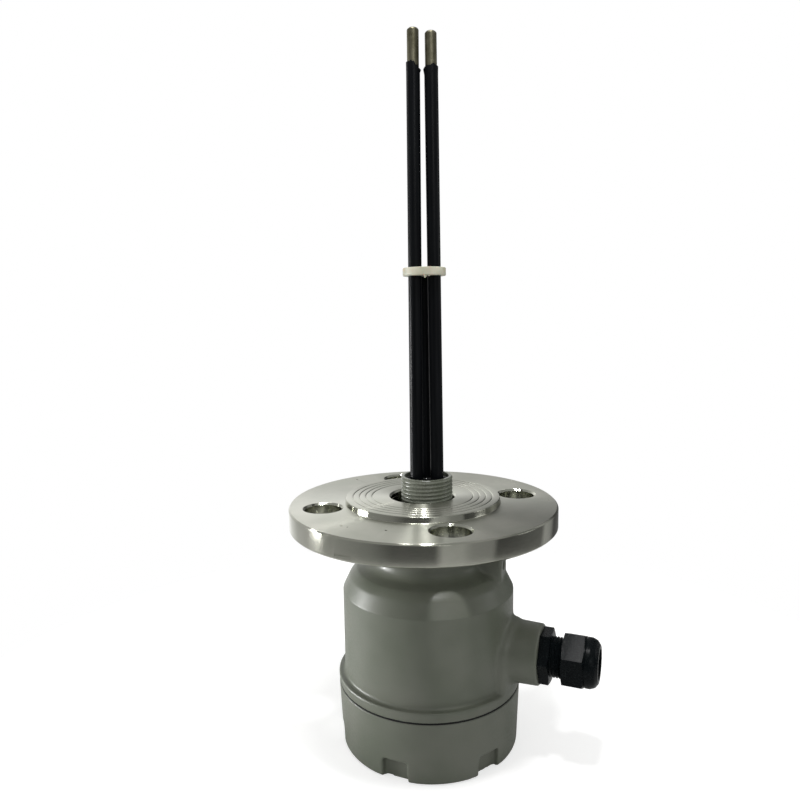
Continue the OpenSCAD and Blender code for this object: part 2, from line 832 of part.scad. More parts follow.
module amplifier_chip() {
    color("#1a1a1c") translate([chip_x, -side_y - chip_l, z_board - chip_h])
        cube([chip_w, chip_l, chip_h]);
}

// The trimmer's rotor turns in a blind bore that opens downwards
module at_rotor() {
    translate([trimmer_x + trimmer_w / 2, side_y + trimmer_w / 2, z_board - trimmer_h]) children();
}

module trimmer() {
    color("#2d5fa8") difference() {
        translate([trimmer_x, side_y, z_board - trimmer_h]) cube([trimmer_w, trimmer_w, trimmer_h]);
        at_rotor() translate([0, 0, -over])
            cylinder(r = rotor_r + run_gap, h = rotor_h + run_gap + over, $fn = fine);
    }
}

module trimmer_rotor() {
    color("#dcdcd6") at_rotor() difference() {
        cylinder(r = rotor_r, h = rotor_h, $fn = fine);
        translate([-rotor_r - over, -slot_w / 2, -over]) cube([2 * (rotor_r + over), slot_w, over + 1]);
    }
}

// Earth terminal on the column

module at_column() {
    rotate([0, 0, column_dir]) translate([column_x, 0, z_column]) children();
}

module earth_washer() {
    color("#c8c8c4") at_column() translate([0, 0, -earth_washer_t])
        tube(column_r - 0.2, earth_r, earth_washer_t);
}

module earth_screw() {
    color("#c2a75a") at_column() difference() {
        union() {
            translate([0, 0, -earth_washer_t - earth_head_h])
                cylinder(r = earth_head_r, h = earth_head_h, $fn = fine);
            translate([0, 0, -earth_washer_t - over])
                cylinder(r = earth_r, h = earth_washer_t + over + earth_len - 0.5, $fn = fine);
        }
        translate([-earth_head_r - over, -slot_w / 2, -earth_washer_t - earth_head_h - over])
            cube([2 * (earth_head_r + over), slot_w, earth_head_h / 2 + over]);
    }
}

// The locking screw holds the insulator head through the lug
module locking_screw() {
    color("#303234") rotate([0, 0, lug_dir]) translate([pocket_r, 0, z_lock]) rotate([0, 90, 0])
        difference() {
            cylinder(r = lock_r, h = lug_reach - lock_deep - pocket_r, $fn = fine);
            translate([0, 0, lug_reach - lock_deep - pocket_r - 2.5]) hexagon(lock_flats, 2.5 + over);
        }
}

// Cable gland, drawn along its axis

module gland_body_outline() {
    turns = floor((gland_shown + gland_caught) / gland_pitch);
    thread_end = x_hex + turns * gland_pitch;
    polygon(concat(
        [[passage_r, boss_reach - gland_in], [gland_thread_r - 0.6, boss_reach - gland_in],
         [gland_thread_r, boss_reach - gland_in + 0.6], [gland_thread_r, x_hex],
         [gland_thread_r - gland_thread, x_hex]],
        ridges(gland_thread_r, gland_thread, gland_pitch, x_hex, turns),
        [[gland_thread_r - gland_thread, thread_end], [finger_r, x_caught], [finger_r, x_finger - 0.8],
         [finger_r - 0.8, x_finger], [finger_bore_r, x_finger], [finger_bore_r, x_seat],
         [passage_r, x_seat]]));
}

module gland_body() {
    color("#17191b") on_gland() difference() {
        union() {
            rotate_extrude($fn = fine) gland_body_outline();
            translate([0, 0, boss_reach]) rotate([0, 0, nut_turn + 20]) difference() {
                hexagon(gland_flats, gland_hex_t);
                translate([0, 0, -over])
                    cylinder(r = gland_thread_r - gland_thread, h = gland_hex_t + 2 * over, $fn = fine);
            }
        }
        translate([0, 0, boss_reach - over])
            tube(gland_thread_r + gland_ring_w, gland_thread_r, gland_ring_t + over);
        for (i = [0 : finger_slots - 1]) rotate([0, 0, i * 360 / finger_slots])
            translate([gland_seal_r - 1, -finger_slot_w / 2, x_caught])
                cube([finger_r, finger_slot_w, finger_len + over]);
    }
}

module gland_ring() {
    color("#2a2a2a") on_gland() translate([0, 0, boss_reach])
        tube(gland_thread_r + gland_ring_w, gland_thread_r, gland_ring_t);
}

module gland_seal() {
    color("#0f0f10") on_gland() translate([0, 0, x_seal]) tube(gland_seal_r, cable_r, gland_seal_len);
}

module nut_bore_outline() {
    polygon([[0, x_nut - over], [nut_bore_r, x_nut - over], [nut_bore_r, x_caught + gland_take_up],
        [nut_room_r, x_caught + gland_take_up + 0.5], [nut_room_r, x_cone], [nut_mouth_r, x_mouth - 1.2],
        [nut_mouth_r, x_mouth + over], [0, x_mouth + over]]);
}

module nut_nose_outline() {
    nose_top_r = gland_flats / 2 - 0.1;
    nose_drop = nose_top_r - nut_nose_r;
    polygon(concat(
        [[0, x_nose - over], [nose_top_r, x_nose - over], [nose_top_r, x_mouth - nose_drop * 1.4]],
        [for (a = [15 : 15 : 90])
            [nut_nose_r + nose_drop * cos(a), x_mouth - nose_drop * 1.4 * (1 - sin(a))]],
        [[0, x_mouth]]));
}

module gland_nut() {
    color("#17191b") on_gland() difference() {
        union() {
            translate([0, 0, x_nut]) rotate([0, 0, nut_turn]) hexagon(gland_flats, nut_hex_len);
            rotate_extrude($fn = fine) nut_nose_outline();
        }
        rotate_extrude($fn = fine) nut_bore_outline();
    }
}

housing();
cover();
cover_seal();
flange();
flange_gasket();
insulator();
potting();
electrode_left();
electrode_right();
electrode_short();
sleeve_left();
sleeve_right();
sleeve_short();
spacer();
electrode_washers();
electrode_nuts();
ring_lugs();
lead_left();
lead_right();
lead_short();
control_board();
board_pillars();
board_screws();
terminal_block();
terminal_screws();
relay();
transformer();
capacitor();
amplifier_chip();
trimmer();
trimmer_rotor();
earth_screw();
earth_washer();
locking_screw();
gland_body();
gland_ring();
gland_seal();
gland_nut();
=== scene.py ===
# %% [markdown]
# # Dressing an electrode level switch
#
# The solids of this part come from its CAD source. Here each of them gets the form and the finish
# that the real one shows: cast and painted metal, turned steel, moulded plastic, rods in sleeves.
# Everything is in metres, in the frame of the CAD. Z runs along the rods and X along the gland.

# %% Loading the frame
import math

import bmesh
import bpy
from mathutils import Matrix, Vector


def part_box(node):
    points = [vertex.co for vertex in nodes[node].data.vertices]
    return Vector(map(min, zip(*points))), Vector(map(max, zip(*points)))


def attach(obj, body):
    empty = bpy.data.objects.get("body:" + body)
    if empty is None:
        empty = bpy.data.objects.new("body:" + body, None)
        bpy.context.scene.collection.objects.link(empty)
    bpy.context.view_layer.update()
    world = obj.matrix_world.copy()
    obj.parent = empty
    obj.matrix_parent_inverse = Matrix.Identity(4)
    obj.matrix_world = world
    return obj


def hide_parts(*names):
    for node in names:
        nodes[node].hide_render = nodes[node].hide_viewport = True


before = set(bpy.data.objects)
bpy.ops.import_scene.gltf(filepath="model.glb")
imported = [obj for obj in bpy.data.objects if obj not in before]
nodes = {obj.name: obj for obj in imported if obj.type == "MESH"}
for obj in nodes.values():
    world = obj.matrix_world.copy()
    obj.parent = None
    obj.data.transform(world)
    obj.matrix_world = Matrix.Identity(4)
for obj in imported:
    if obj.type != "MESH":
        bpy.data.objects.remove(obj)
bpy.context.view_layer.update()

# %% [markdown]
# ## Heights and radii
#
# The pieces that are modelled anew take their places from the boxes of the CAD nodes, so that they
# sit where the solids sit. The sizes that a box doesn't show are written in millimetres, in the cell
# of the piece that first needs them.

# %% Sizes of the part
MM = 0.001


def reach(node, side, axis):
    """One face of a node's box in millimetres: side 0 is low, 1 is high, axis is 0 to 2."""
    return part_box(node)[side][axis] / MM


z_rim = reach("cover", 1, 2)
z_collar = reach("cover_seal", 1, 2)
z_skirt = reach("housing", 0, 2)
z_spigot = reach("housing", 1, 2)
z_neck = reach("flange_gasket", 0, 2)
z_flange = reach("flange", 0, 2)
z_spacer = reach("electrode_short", 1, 2)
z_head = reach("insulator", 0, 2)
z_pour = reach("potting", 1, 2)
z_left = reach("electrode_left", 1, 2)
z_right = reach("electrode_right", 1, 2)
x_boss = reach("gland_ring", 0, 0)
x_nut = reach("gland_nut", 0, 0)
x_mouth = reach("gland_nut", 1, 0)
print("seam at", round(z_collar, 2), "flange at", round(z_flange, 2), "left tip at", round(z_left, 2))

# %% [markdown]
# ## Three ways to start a piece
#
# Most of this part was turned on a lathe or moulded round, so most pieces begin as an outline that is
# spun about the Z axis. An outline is a list of corners, each with a rounding. Drawing a corner as an
# arc gives the soft edges of paint and plastic at once, where a bevel would have to find the edges
# again after each cut. What isn't round begins as a primitive and is cut or joined.


# %% Selecting nothing
def deselect():
    """Leaves edit mode and selects nothing, so that the next operator acts on its own piece alone."""
    if bpy.context.object and bpy.context.object.mode != "OBJECT":
        bpy.ops.object.mode_set(mode="OBJECT")
    bpy.ops.object.select_all(action="DESELECT")


def take(piece):
    """Selects one piece and makes it the active one."""
    deselect()
    piece.select_set(True)
    bpy.context.view_layer.objects.active = piece


# %% Rounding the corners of an outline
def soften(corners, closed, arc_steps=5):
    """Corners (radius, height, rounding) in millimetres as one line of points in metres."""
    line = []
    for i, (r, z, rounding) in enumerate(corners):
        here = Vector((r, 0, z))
        if not rounding or (not closed and i in (0, len(corners) - 1)):
            line.append(here)
            continue
        before, after = corners[i - 1], corners[(i + 1) % len(corners)]
        back = Vector((before[0], 0, before[1])) - here
        ahead = Vector((after[0], 0, after[1])) - here
        half = back.angle(ahead) / 2
        run = min(rounding / math.tan(half), 0.49 * back.length, 0.49 * ahead.length)
        middle = here + (back.normalized() + ahead.normalized()).normalized() * (run / math.cos(half))
        start, end = here + back.normalized() * run - middle, here + ahead.normalized() * run - middle
        for k in range(arc_steps + 1):
            line.append(middle + start.slerp(end, k / arc_steps).normalized() * start.length)
    return [point * MM for point in line]


# %% Spinning an outline
def trace(name, line):
    """Draws a line point by point in edit mode, and stays there with the last point selected."""
    deselect()
    bpy.ops.mesh.primitive_plane_add(size=0.001)
    piece = bpy.context.object
    piece.name = piece.data.name = name
    bpy.ops.object.mode_set(mode="EDIT")
    bpy.ops.mesh.select_all(action="SELECT")
    bpy.ops.mesh.merge(type="CENTER")
    bpy.ops.transform.translate(value=line[0])
    for here, there in zip(line, line[1:]):
        bpy.ops.mesh.extrude_vertices_move(TRANSFORM_OT_translate={"value": there - here})
    return piece


def lathe(name, corners, closed=True, steps=160, arc_steps=5):
    """Spins an outline about the Z axis. A closed outline gives a ring, an open one a solid."""
    line = soften(corners, closed, arc_steps)
    if closed:
        line.append(line[0])
    piece = trace(name, line)
    bpy.ops.mesh.select_all(action="SELECT")
    bpy.ops.mesh.spin(steps=steps, angle=math.tau, center=(0, 0, 0), axis=(0, 0, 1))
    bpy.ops.mesh.select_all(action="SELECT")
    bpy.ops.mesh.remove_doubles(threshold=2e-6)
    bpy.ops.mesh.normals_make_consistent(inside=False)
    bpy.ops.object.mode_set(mode="OBJECT")
    return piece


# %% Blocks and bars
def block(name, low, high, bevel=0.0, segments=2):
    """A box between two corners in millimetres, with its edges bevelled in edit mode."""
    deselect()
    low, high = Vector(low) * MM, Vector(high) * MM
    bpy.ops.mesh.primitive_cube_add(size=1, location=(low + high) / 2)
    piece = bpy.context.object
    piece.name = piece.data.name = name
    piece.scale = high - low
    bpy.ops.object.transform_apply(location=True, rotation=True, scale=True)
    if bevel:
        bpy.ops.object.mode_set(mode="EDIT")
        bpy.ops.mesh.select_all(action="SELECT")
        bpy.ops.mesh.bevel(offset=bevel * MM, segments=segments, affect="EDGES")
        bpy.ops.object.mode_set(mode="OBJECT")
    return piece


def bar(name, radius, z0, z1, sides=64, turn=0.0, corner=0.0):
    """An upright bar of so many sides, with a corner on X turned by some degrees, corners rounded."""
    deselect()
    bpy.ops.mesh.primitive_cylinder_add(
        vertices=sides, radius=radius * MM, depth=(z1 - z0) * MM, location=(0, 0, (z0 + z1) / 2 * MM),
        rotation=(0, 0, math.radians(turn) + math.pi / 2))
    piece = bpy.context.object
    piece.name = piece.data.name = name
    bpy.ops.object.transform_apply(location=True, rotation=True, scale=True)
    if corner:
        bpy.ops.object.mode_set(mode="EDIT")
        bpy.ops.mesh.select_all(action="DESELECT")
        mesh = bmesh.from_edit_mesh(piece.data)
        for edge in mesh.edges:
            a, b = edge.verts
            edge.select_set(abs(a.co.z - b.co.z) > 1e-6)
        bmesh.update_edit_mesh(piece.data)
        bpy.ops.mesh.bevel(offset=corner * MM, segments=3, affect="EDGES")
        bpy.ops.object.mode_set(mode="OBJECT")
    return piece


# %% Cutting and joining
def apply_all(piece):
    """Applies each modifier of a piece in turn."""
    take(piece)
    for modifier in list(piece.modifiers):
        bpy.ops.object.modifier_apply(modifier=modifier.name)


def cut(piece, *tools, way="DIFFERENCE", solver="MANIFOLD"):
    """Takes tools away from a piece, adds them or keeps what both share, and clears the tools up."""
    for tool in tools:
        step = piece.modifiers.new("cut", "BOOLEAN")
        step.operation, step.solver, step.object = way, solver, tool
        apply_all(piece)
        bpy.data.objects.remove(tool, do_unlink=True)
    return piece


def join(piece, *others):
    """Makes several meshes one piece without cutting them."""
    take(piece)
    for other in others:
        other.select_set(True)
    bpy.ops.object.join()
    return piece


def place(piece, matrix):
    """Moves a piece's mesh, and leaves its object at the origin."""
    take(piece)
    piece.matrix_world = matrix
    bpy.ops.object.transform_apply(location=True, rotation=True, scale=True)
    return piece


# %% [markdown]
# The gland lies along X, the locking screw lies in a lug that points a little to the side, and the
# rods lean towards each other. Their pieces could be drawn in place, but it is far easier to draw
# each upright on the Z axis and to move it with a matrix at the end.


# %% Along the gland and along a rod
def turned(degrees, axis):
    """A turn about one of the axes."""
    return Matrix.Rotation(math.radians(degrees), 4, axis)


def around(turn, radius, height=0):
    """A spot at a direction in degrees, a radius and a height in millimetres, turned with it."""
    return turned(turn, "Z") @ Matrix.Translation((radius * MM, 0, height * MM))


# Heights of the gland and of the locking screw, and the direction of its lug in degrees
z_gland, z_lock, lug_turn = 54.0, 97.3, 5
ON_GLAND = Matrix.Translation((0, 0, z_gland * MM)) @ turned(90, "Y")
ON_LUG = around(lug_turn, 0, z_lock) @ turned(90, "Y")
# Radius of the circle that the rods stand on, how far they lean in, and their directions in degrees
rod_circle, rod_lean = 6.35, 0.29
ROD_TURNS = {"left": -127.2, "right": -7.2, "short": 112.8}


def on_rod(side):
    """Local Z becomes the axis of a rod, from the insulator's lower face upwards."""
    return around(ROD_TURNS[side], rod_circle, z_head) @ turned(-rod_lean, "Y")


print("rods:", {side: [round(v, 4) for v in on_rod(side).translation] for side in ROD_TURNS})


# %% [markdown]
# ## A thread
#
# A thread is one ridge that climbs as it goes round. A stack of rings would be easier and would look
# the same from afar, but close up and at the ends the climb shows, so it is wound here. One pitch of
# its outline is drawn and the Screw modifier carries it round and up. Its two open ends are closed,
# so that it is a solid rod, and an unthreaded blank then cuts it to length and gives it its lead-in
# chamfer. The same rod, a little larger, cuts the thread inside the cover and the nut, so the two
# always match.


# %% Winding a threaded rod
def threaded(name, crest, depth, pitch, z0, z1, steps=96, flat=0.0):
    """A right-hand threaded rod about Z, longer than asked at both ends. Sizes in millimetres."""
    start = (math.floor(z0 / pitch) - 1) * pitch
    turns = math.ceil((z1 - start) / pitch) + 1
    line = []
    for k in range(9):
        swell = 0.5 - 0.5 * math.cos(math.tau * k / 8)
        swell = min(1.0, swell * (1 + flat))
        line.append(Vector((crest - depth * (1 - swell), 0, start + pitch * k / 8)) * MM)
    piece = trace(name, line)
    bpy.ops.object.mode_set(mode="OBJECT")
    wind = piece.modifiers.new("wind", "SCREW")
    wind.axis, wind.angle, wind.screw_offset = "Z", math.tau, pitch * MM
    wind.iterations = turns
    wind.steps = wind.render_steps = steps
    apply_all(piece)
    bpy.ops.object.mode_set(mode="EDIT")
    bpy.ops.mesh.select_all(action="SELECT")
    bpy.ops.mesh.remove_doubles(threshold=2e-6)
    middle = (start + pitch * (turns + 1) / 2) * MM
    for upper in (False, True):
        mesh = bmesh.from_edit_mesh(piece.data)
        for face in mesh.faces:
            face.select_set(False)
        for edge in mesh.edges:
            height = (edge.verts[0].co.z + edge.verts[1].co.z) / 2
            edge.select_set(edge.is_boundary and (height > middle) == upper)
        bmesh.update_edit_mesh(piece.data)
        bpy.ops.mesh.edge_face_add()
    bpy.ops.mesh.select_all(action="SELECT")
    bpy.ops.mesh.normals_make_consistent(inside=False)
    bpy.ops.object.mode_set(mode="OBJECT")
    return piece


# %% [markdown]
# ## Finishes
#
# A finish is a material with its own small function. Each one starts from the same shader and adds
# what the eye finds on the real surface: a broad drift of the colour, a fine grain in the roughness
# and a bump at its true scale. All patterns read object coordinates, so they stay on the piece.


# %% Starting a material
def colour(r, g, b):
    """A colour of the screen, 0 to 255, as the linear values that a shader takes."""
    def linear(v):
        v = v / 255
        return v / 12.92 if v <= 0.04045 else ((v + 0.055) / 1.055) ** 2.4
    return (linear(r), linear(g), linear(b), 1.0)


def finish(name, tint, roughness, metallic=0.0, **sockets):
    """A new material with its even values set on the shader's own sockets."""
    material = bpy.data.materials.new(name)
    material.use_nodes = True
    shader = material.node_tree.nodes["Principled BSDF"]
    shader.inputs["Base Color"].default_value = colour(*tint)
    shader.inputs["Roughness"].default_value = roughness
    shader.inputs["Metallic"].default_value = metallic
    for socket, value in sockets.items():
        shader.inputs[socket.replace("_", " ")].default_value = value
    print("finish:", name)
    return material


# %% Adding and linking its nodes
def add(material, kind, **values):
    """Adds a node, with its settings and its inputs by name."""
    node = material.node_tree.nodes.new(kind)
    for key, value in values.items():
        if hasattr(node, key):
            setattr(node, key, value)
        else:
            node.inputs[key.replace("_", " ")].default_value = value
    return node


def wire(material, source, target):
    """Links one node's output to another's input."""
    material.node_tree.links.new(source, target)


def shader_of(material):
    return material.node_tree.nodes["Principled BSDF"]


# %% Patterns on its sockets
def grain(material, scale, detail=3.0, stretch=(1, 1, 1)):
    """Noise on the object's own coordinates. The scale counts patches to a metre."""
    where = add(material, "ShaderNodeTexCoord")
    mapping = add(material, "ShaderNodeMapping")
    mapping.inputs["Scale"].default_value = stretch
    noise = add(material, "ShaderNodeTexNoise", Scale=scale, Detail=detail)
    wire(material, where.outputs["Object"], mapping.inputs["Vector"])
    wire(material, mapping.outputs["Vector"], noise.inputs["Vector"])
    return noise.outputs["Fac"]


def drift(material, source, tints, stops, socket="Base Color"):
    """Lets a pattern run between colours on one of the shader's sockets."""
    ramp = add(material, "ShaderNodeValToRGB")
    band = ramp.color_ramp
    for k, (tint, stop) in enumerate(zip(tints, stops)):
        element = band.elements[k] if k < 2 else band.elements.new(stop)
        element.position = stop
        element.color = colour(*tint)
    wire(material, source, ramp.inputs["Fac"])
    wire(material, ramp.outputs["Color"], shader_of(material).inputs[socket])


def spread(material, source, low, high, socket="Roughness", start=0.3, end=0.7):
    """Lets a pattern run between two numbers on one of the shader's sockets."""
    step = add(material, "ShaderNodeMapRange", From_Min=start, From_Max=end, To_Min=low, To_Max=high)
    wire(material, source, step.inputs["Value"])
    if socket:
        wire(material, step.outputs["Result"], shader_of(material).inputs[socket])
    return step.outputs["Result"]


def relief(material, source, height, strength=1.0, below=None):
    """A bump of a height in millimetres, on top of another one if that is given."""
    bump = add(material, "ShaderNodeBump", Strength=strength, Distance=height * MM)
    wire(material, source, bump.inputs["Height"])
    if below is not None:
        wire(material, below, bump.inputs["Normal"])
    wire(material, bump.outputs["Normal"], shader_of(material).inputs["Normal"])
    return bump.outputs["Normal"]


# %% [markdown]
# ### Cast parts: satin paint
#
# The housing and the cover are painted castings. Up close such paint is never flat: it has the
# orange peel of the spray gun, some millimetres from crest to crest, and a fine grain that breaks up
# the highlights. A picture of paint could do this too, but it would need a UV map that follows every
# boss. A bump of two noises needs none and gives both sizes of grain, and the colour drifts a little
# between a greener and a greyer tone.


# %% Paint of the castings
def casting_paint(name, glossy, matt):
    """Grey satin paint whose roughness runs between two numbers."""
    paint = finish(name, (97, 101, 90), (glossy + matt) / 2)
    drift(paint, grain(paint, 38, 2), [(92, 97, 85), (102, 105, 95)], [0.35, 0.65])
    spread(paint, grain(paint, 900, 3), glossy, matt)
    peel = relief(paint, grain(paint, 330, 2), 0.05, 0.6)
    relief(paint, grain(paint, 1500, 2), 0.014, 0.6, peel)
    return paint


paint = casting_paint("housing_paint", 0.34, 0.47)
worn_paint = casting_paint("spigot_paint", 0.18, 0.36)


# %% [markdown]
# ### Turned steel
#
# The flange was turned, and the tool left fine rings about its axis. They spread a highlight across
# the rings, which is why a turned face shows a bright line from its middle to its edge. The shader's
# anisotropy does that: the Tangent node, set to radial, tells it how the rings run, and a quarter
# turn lays the highlight across them. A noise that changes only with the distance from the axis and
# with the height gives the rings themselves. The two flat faces are duller than the rim, the step and
# the holes, so the roughness follows the height too.


# %% Steel of the flange
FLANGE_AXIS = (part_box("flange")[0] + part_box("flange")[1]) / 2
# Heights of the plate's upper face and of the raised face
z_plate, z_raised = z_flange + 11.1, z_flange + 14.2


def turned_steel():
    steel = finish("flange_steel", (192, 193, 180), 0.3, 1.0, Anisotropic=1.0, Anisotropic_Rotation=0.25)
    where = add(steel, "ShaderNodeTexCoord")
    centre = add(steel, "ShaderNodeVectorMath", operation="SUBTRACT")
    centre.inputs[1].default_value = (FLANGE_AXIS.x, FLANGE_AXIS.y, 0)
    flat = add(steel, "ShaderNodeVectorMath", operation="MULTIPLY")
    flat.inputs[1].default_value = (1, 1, 0)
    away = add(steel, "ShaderNodeVectorMath", operation="LENGTH")
    wire(steel, where.outputs["Object"], centre.inputs[0])
    wire(steel, centre.outputs["Vector"], flat.inputs[0])
    wire(steel, flat.outputs["Vector"], away.inputs[0])
    rings = add(steel, "ShaderNodeTexNoise", noise_dimensions="1D", Scale=2600.0, Detail=2.0)
    height = add(steel, "ShaderNodeSeparateXYZ")
    station = add(steel, "ShaderNodeMath", operation="ADD")
    wire(steel, where.outputs["Object"], height.inputs[0])
    wire(steel, away.outputs["Value"], station.inputs[0])
    wire(steel, height.outputs["Z"], station.inputs[1])
    wire(steel, station.outputs[0], rings.inputs["W"])
    tangent = add(steel, "ShaderNodeTangent", direction_type="RADIAL", axis="Z")
    wire(steel, tangent.outputs["Tangent"], shader_of(steel).inputs["Tangent"])
    drift(steel, grain(steel, 60, 4), [(186, 188, 175), (198, 198, 186)], [0.35, 0.65])
    sharp, dull = (93, 93, 93), (145, 145, 145)     # greys that give a roughness of 0.11 and 0.28
    level = spread(steel, height.outputs["Z"], 0, 1, None, (z_plate - 0.3) * MM, (z_raised + 0.1) * MM)
    drift(steel, level, [sharp, dull, dull, sharp, sharp, dull], [0.03, 0.07, 0.16, 0.2, 0.86, 0.94],
          "Roughness")
    relief(steel, rings.outputs["Fac"], 0.004, 0.35)
    return steel


steel = turned_steel()


# %% [markdown]
# ### The probe: black sleeves, bare tips, ivory spacer, black resin
#
# The sleeves are shrink tube, almost black, with faint long streaks where they were drawn over the
# rods. A noise that is stretched along Z makes the streaks, and costs less than modelling them. The
# bare tips are stainless steel, and their dull olive tone is a painted reflection of the surroundings,
# put into the metal's colour. The spacer is an ivory plastic that lets a little light in, and the
# resin poured round the rods is glossy and slightly wavy.


# %% Finishes of the probe
def sleeve_plastic():
    rubbed = finish("sleeve_black", (7, 10, 13), 0.34, Specular_IOR_Level=0.14)
    spread(rubbed, grain(rubbed, 900, 3, (1, 1, 0.03)), 0.28, 0.48)
    drift(rubbed, grain(rubbed, 400, 3, (1, 1, 0.05)), [(5, 7, 10), (14, 16, 19)], [0.4, 0.75])
    relief(rubbed, grain(rubbed, 700, 2, (1, 1, 0.06)), 0.03, 0.5)
    return rubbed


def rod_metal():
    # The olive tint of the base colour is a painted reflection of the surroundings, not the steel's own
    # colour.
    metal = finish("rod_steel", (118, 116, 96), 0.46, 1.0)
    spread(metal, grain(metal, 900, 3, (1, 1, 0.1)), 0.38, 0.5)
    drift(metal, grain(metal, 260, 3), [(98, 95, 75), (134, 131, 112)], [0.3, 0.75])
    relief(metal, grain(metal, 1100, 2, (1, 1, 0.08)), 0.003, 0.3)
    return metal


def ivory_plastic():
    ivory = finish("spacer_ivory", (194, 192, 172), 0.4, Subsurface_Weight=0.12, Subsurface_Scale=0.002)
    drift(ivory, grain(ivory, 160, 3), [(184, 182, 160), (202, 200, 182)], [0.35, 0.65])
    spread(ivory, grain(ivory, 900, 2), 0.34, 0.5)
    relief(ivory, grain(ivory, 1100, 2), 0.015, 0.4)
    return ivory


def poured_resin():
    resin = finish("potting_black", (14, 15, 17), 0.08, Coat_Weight=0.3, Coat_Roughness=0.03)
    spread(resin, grain(resin, 500, 2), 0.05, 0.16)
    drift(resin, grain(resin, 120, 2), [(11, 12, 14), (20, 21, 23)], [0.4, 0.7])
    relief(resin, grain(resin, 130, 1), 0.12, 0.5)
    return resin


sleeve_black, rod_steel, ivory, resin = sleeve_plastic(), rod_metal(), ivory_plastic(), poured_resin()


# %% [markdown]
# ### The gland: speckled black polyamide
#
# The moulded gland has the fine sparkle of glass-filled plastic. The small light specks in the colour
# are painted glints of that sparkle, and a sharp grain in the bump adds to it, at about half a millimetre.


# %% Finishes of the gland and of the rubber
def gland_plastic():
    black = finish("gland_black", (9, 13, 15), 0.34, Specular_IOR_Level=0.08)
    # The third, lighter tint is painted glints: light specks in the colour that stand in for the sparkle of
    # the glass filler.
    drift(black, grain(black, 1700, 2), [(6, 10, 12), (10, 14, 16), (36, 42, 43)], [0.35, 0.58, 0.78])
    spread(black, grain(black, 1700, 3), 0.2, 0.36)
    relief(black, grain(black, 1500, 2), 0.04, 0.7)
    return black


def rubber(name, tint, size):
    """Soft and dull, with a grain of so many patches to a metre."""
    soft = finish(name, tint, 0.65, Specular_IOR_Level=0.3)
    spread(soft, grain(soft, size, 3), 0.55, 0.8)
    dark = tuple(v * 0.8 for v in tint)
    drift(soft, grain(soft, size / 6, 3), [dark, tint], [0.3, 0.7])
    relief(soft, grain(soft, size, 3), 0.03, 0.5)
    return soft


gland_black = gland_plastic()
seal_rubber = rubber("seal_rubber", (13, 14, 15), 1300)


# %% [markdown]
# ## Finishing a piece
#
# Every finished piece gets smooth shading up to an angle, its material and the body that it rides on,
# and the CAD nodes that it stands for are hidden. Doing it in one place means that no piece is left
# without one of them.


# %% Fitting a piece into the frame
def fit(piece, material, body, slot, *stood_for, angle=35):
    """Shades a piece and gives it its material and its body, hiding the nodes it stands for. The slot is
    not used.
    """
    take(piece)
    bpy.ops.object.transform_apply(location=True, rotation=True, scale=True)
    bpy.ops.object.shade_smooth_by_angle(angle=math.radians(angle))
    piece.data.materials.clear()
    piece.data.materials.append(material)
    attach(piece, body)
    if stood_for:
        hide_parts(*stood_for)
    triangles = sum(len(face.vertices) - 2 for face in piece.data.polygons)
    print(f"{piece.name}: {triangles} triangles, rides on {body}")
    return piece


# %% [markdown]
# ## The housing
#
# The housing is one casting: a round body under a shoulder and a neck, a pad and a boss for the
# gland, and a lug for the locking screw. All its inner corners are filleted, as a mould needs. Such
# fillets could be bevelled, but the edges where a boss meets a round body are too irregular for that.
# So the raw forms are laid into each other first, and the next step makes one skin of them.


# %% Raw forms of the housing
# Heights of the collar's ledge and of the crease under the shoulder
z_ledge, z_crease = 37.9, 82.7
# Radii of the collar, the body and the neck
collar_r, body_r, neck_r = 48.5, 45.2, 29.0
# The shoulder's arc: how far out and how high its middle is, and its radius
dome_r, dome_z, dome_round = 28.8, 79.3, 16.75


def housing_lathe():
    corners = [(0, z_collar, 0), (collar_r - 0.35, z_collar, 0.4), (collar_r, z_ledge - 1.5, 0.5),
               (collar_r, z_ledge, 1.0), (body_r, z_ledge, 1.2), (body_r, z_crease, 0.6)]
    # Degrees along the shoulder's arc, and the rounding there
    for degrees, rounding in ((40, 5), (47, 0), (53, 0), (58, 0)):
        a = math.radians(degrees)
        corners.append((dome_r + dome_round * math.cos(a), dome_z + dome_round * math.sin(a), rounding))
    corners += [(neck_r, 96.0, 6.0), (neck_r, z_neck, 0.8), (0, z_neck, 0)]
    return lathe("housing_body", corners, closed=False, steps=224)


def gland_pad():
    pad = place(bar("pad", 16.7, 30, 60, 96), ON_GLAND)
    foot = block("foot", (30, -16.7, z_ledge - 2), (60, 16.7, z_gland))
    cut(pad, foot, way="UNION", solver="EXACT")
    return cut(pad, bar("round", collar_r, z_ledge - 3, z_crease, 224), way="INTERSECT", solver="EXACT")


def gland_boss():
    corners = [(0, 30, 0), (16.2, 30, 0), (16.0, 38, 0), (15.1, x_boss, 0.9), (0, x_boss, 0)]
    return place(lathe("boss", corners, closed=False, steps=128), ON_GLAND)


def locking_lug():
    lug = lathe("lug", [(0, 15, 0), (8.5, 15, 0), (8.5, 40.8, 0.7), (0, 40.8, 0)], False, 96)
    place(lug, ON_LUG)
    foot = block("foot", (15, -8.5, z_crease - 4), (40.8, 8.5, z_lock), 0.5)
    return join(lug, place(foot, turned(lug_turn, "Z")))


raw = join(housing_lathe(), gland_pad(), gland_boss(), locking_lug())
print("raw forms:", len(raw.data.polygons), "faces")


# %% [markdown]
# The voxel remesh makes one closed skin over the raw forms. Only the places where two forms meet are
# smoothed, which makes the fillets. Everywhere else the skin is wrapped back onto the raw forms, and
# it is cut along the heights of the crease and the edges, which keeps them crisp.


# %% Where two forms meet
LUG_ANGLE = math.radians(lug_turn)


def fade(value, start, end):
    """0 at start and 1 at end, with a soft course."""
    t = max(0.0, min(1.0, (value - start) / (end - start)))
    return t * t * (3 - 2 * t)


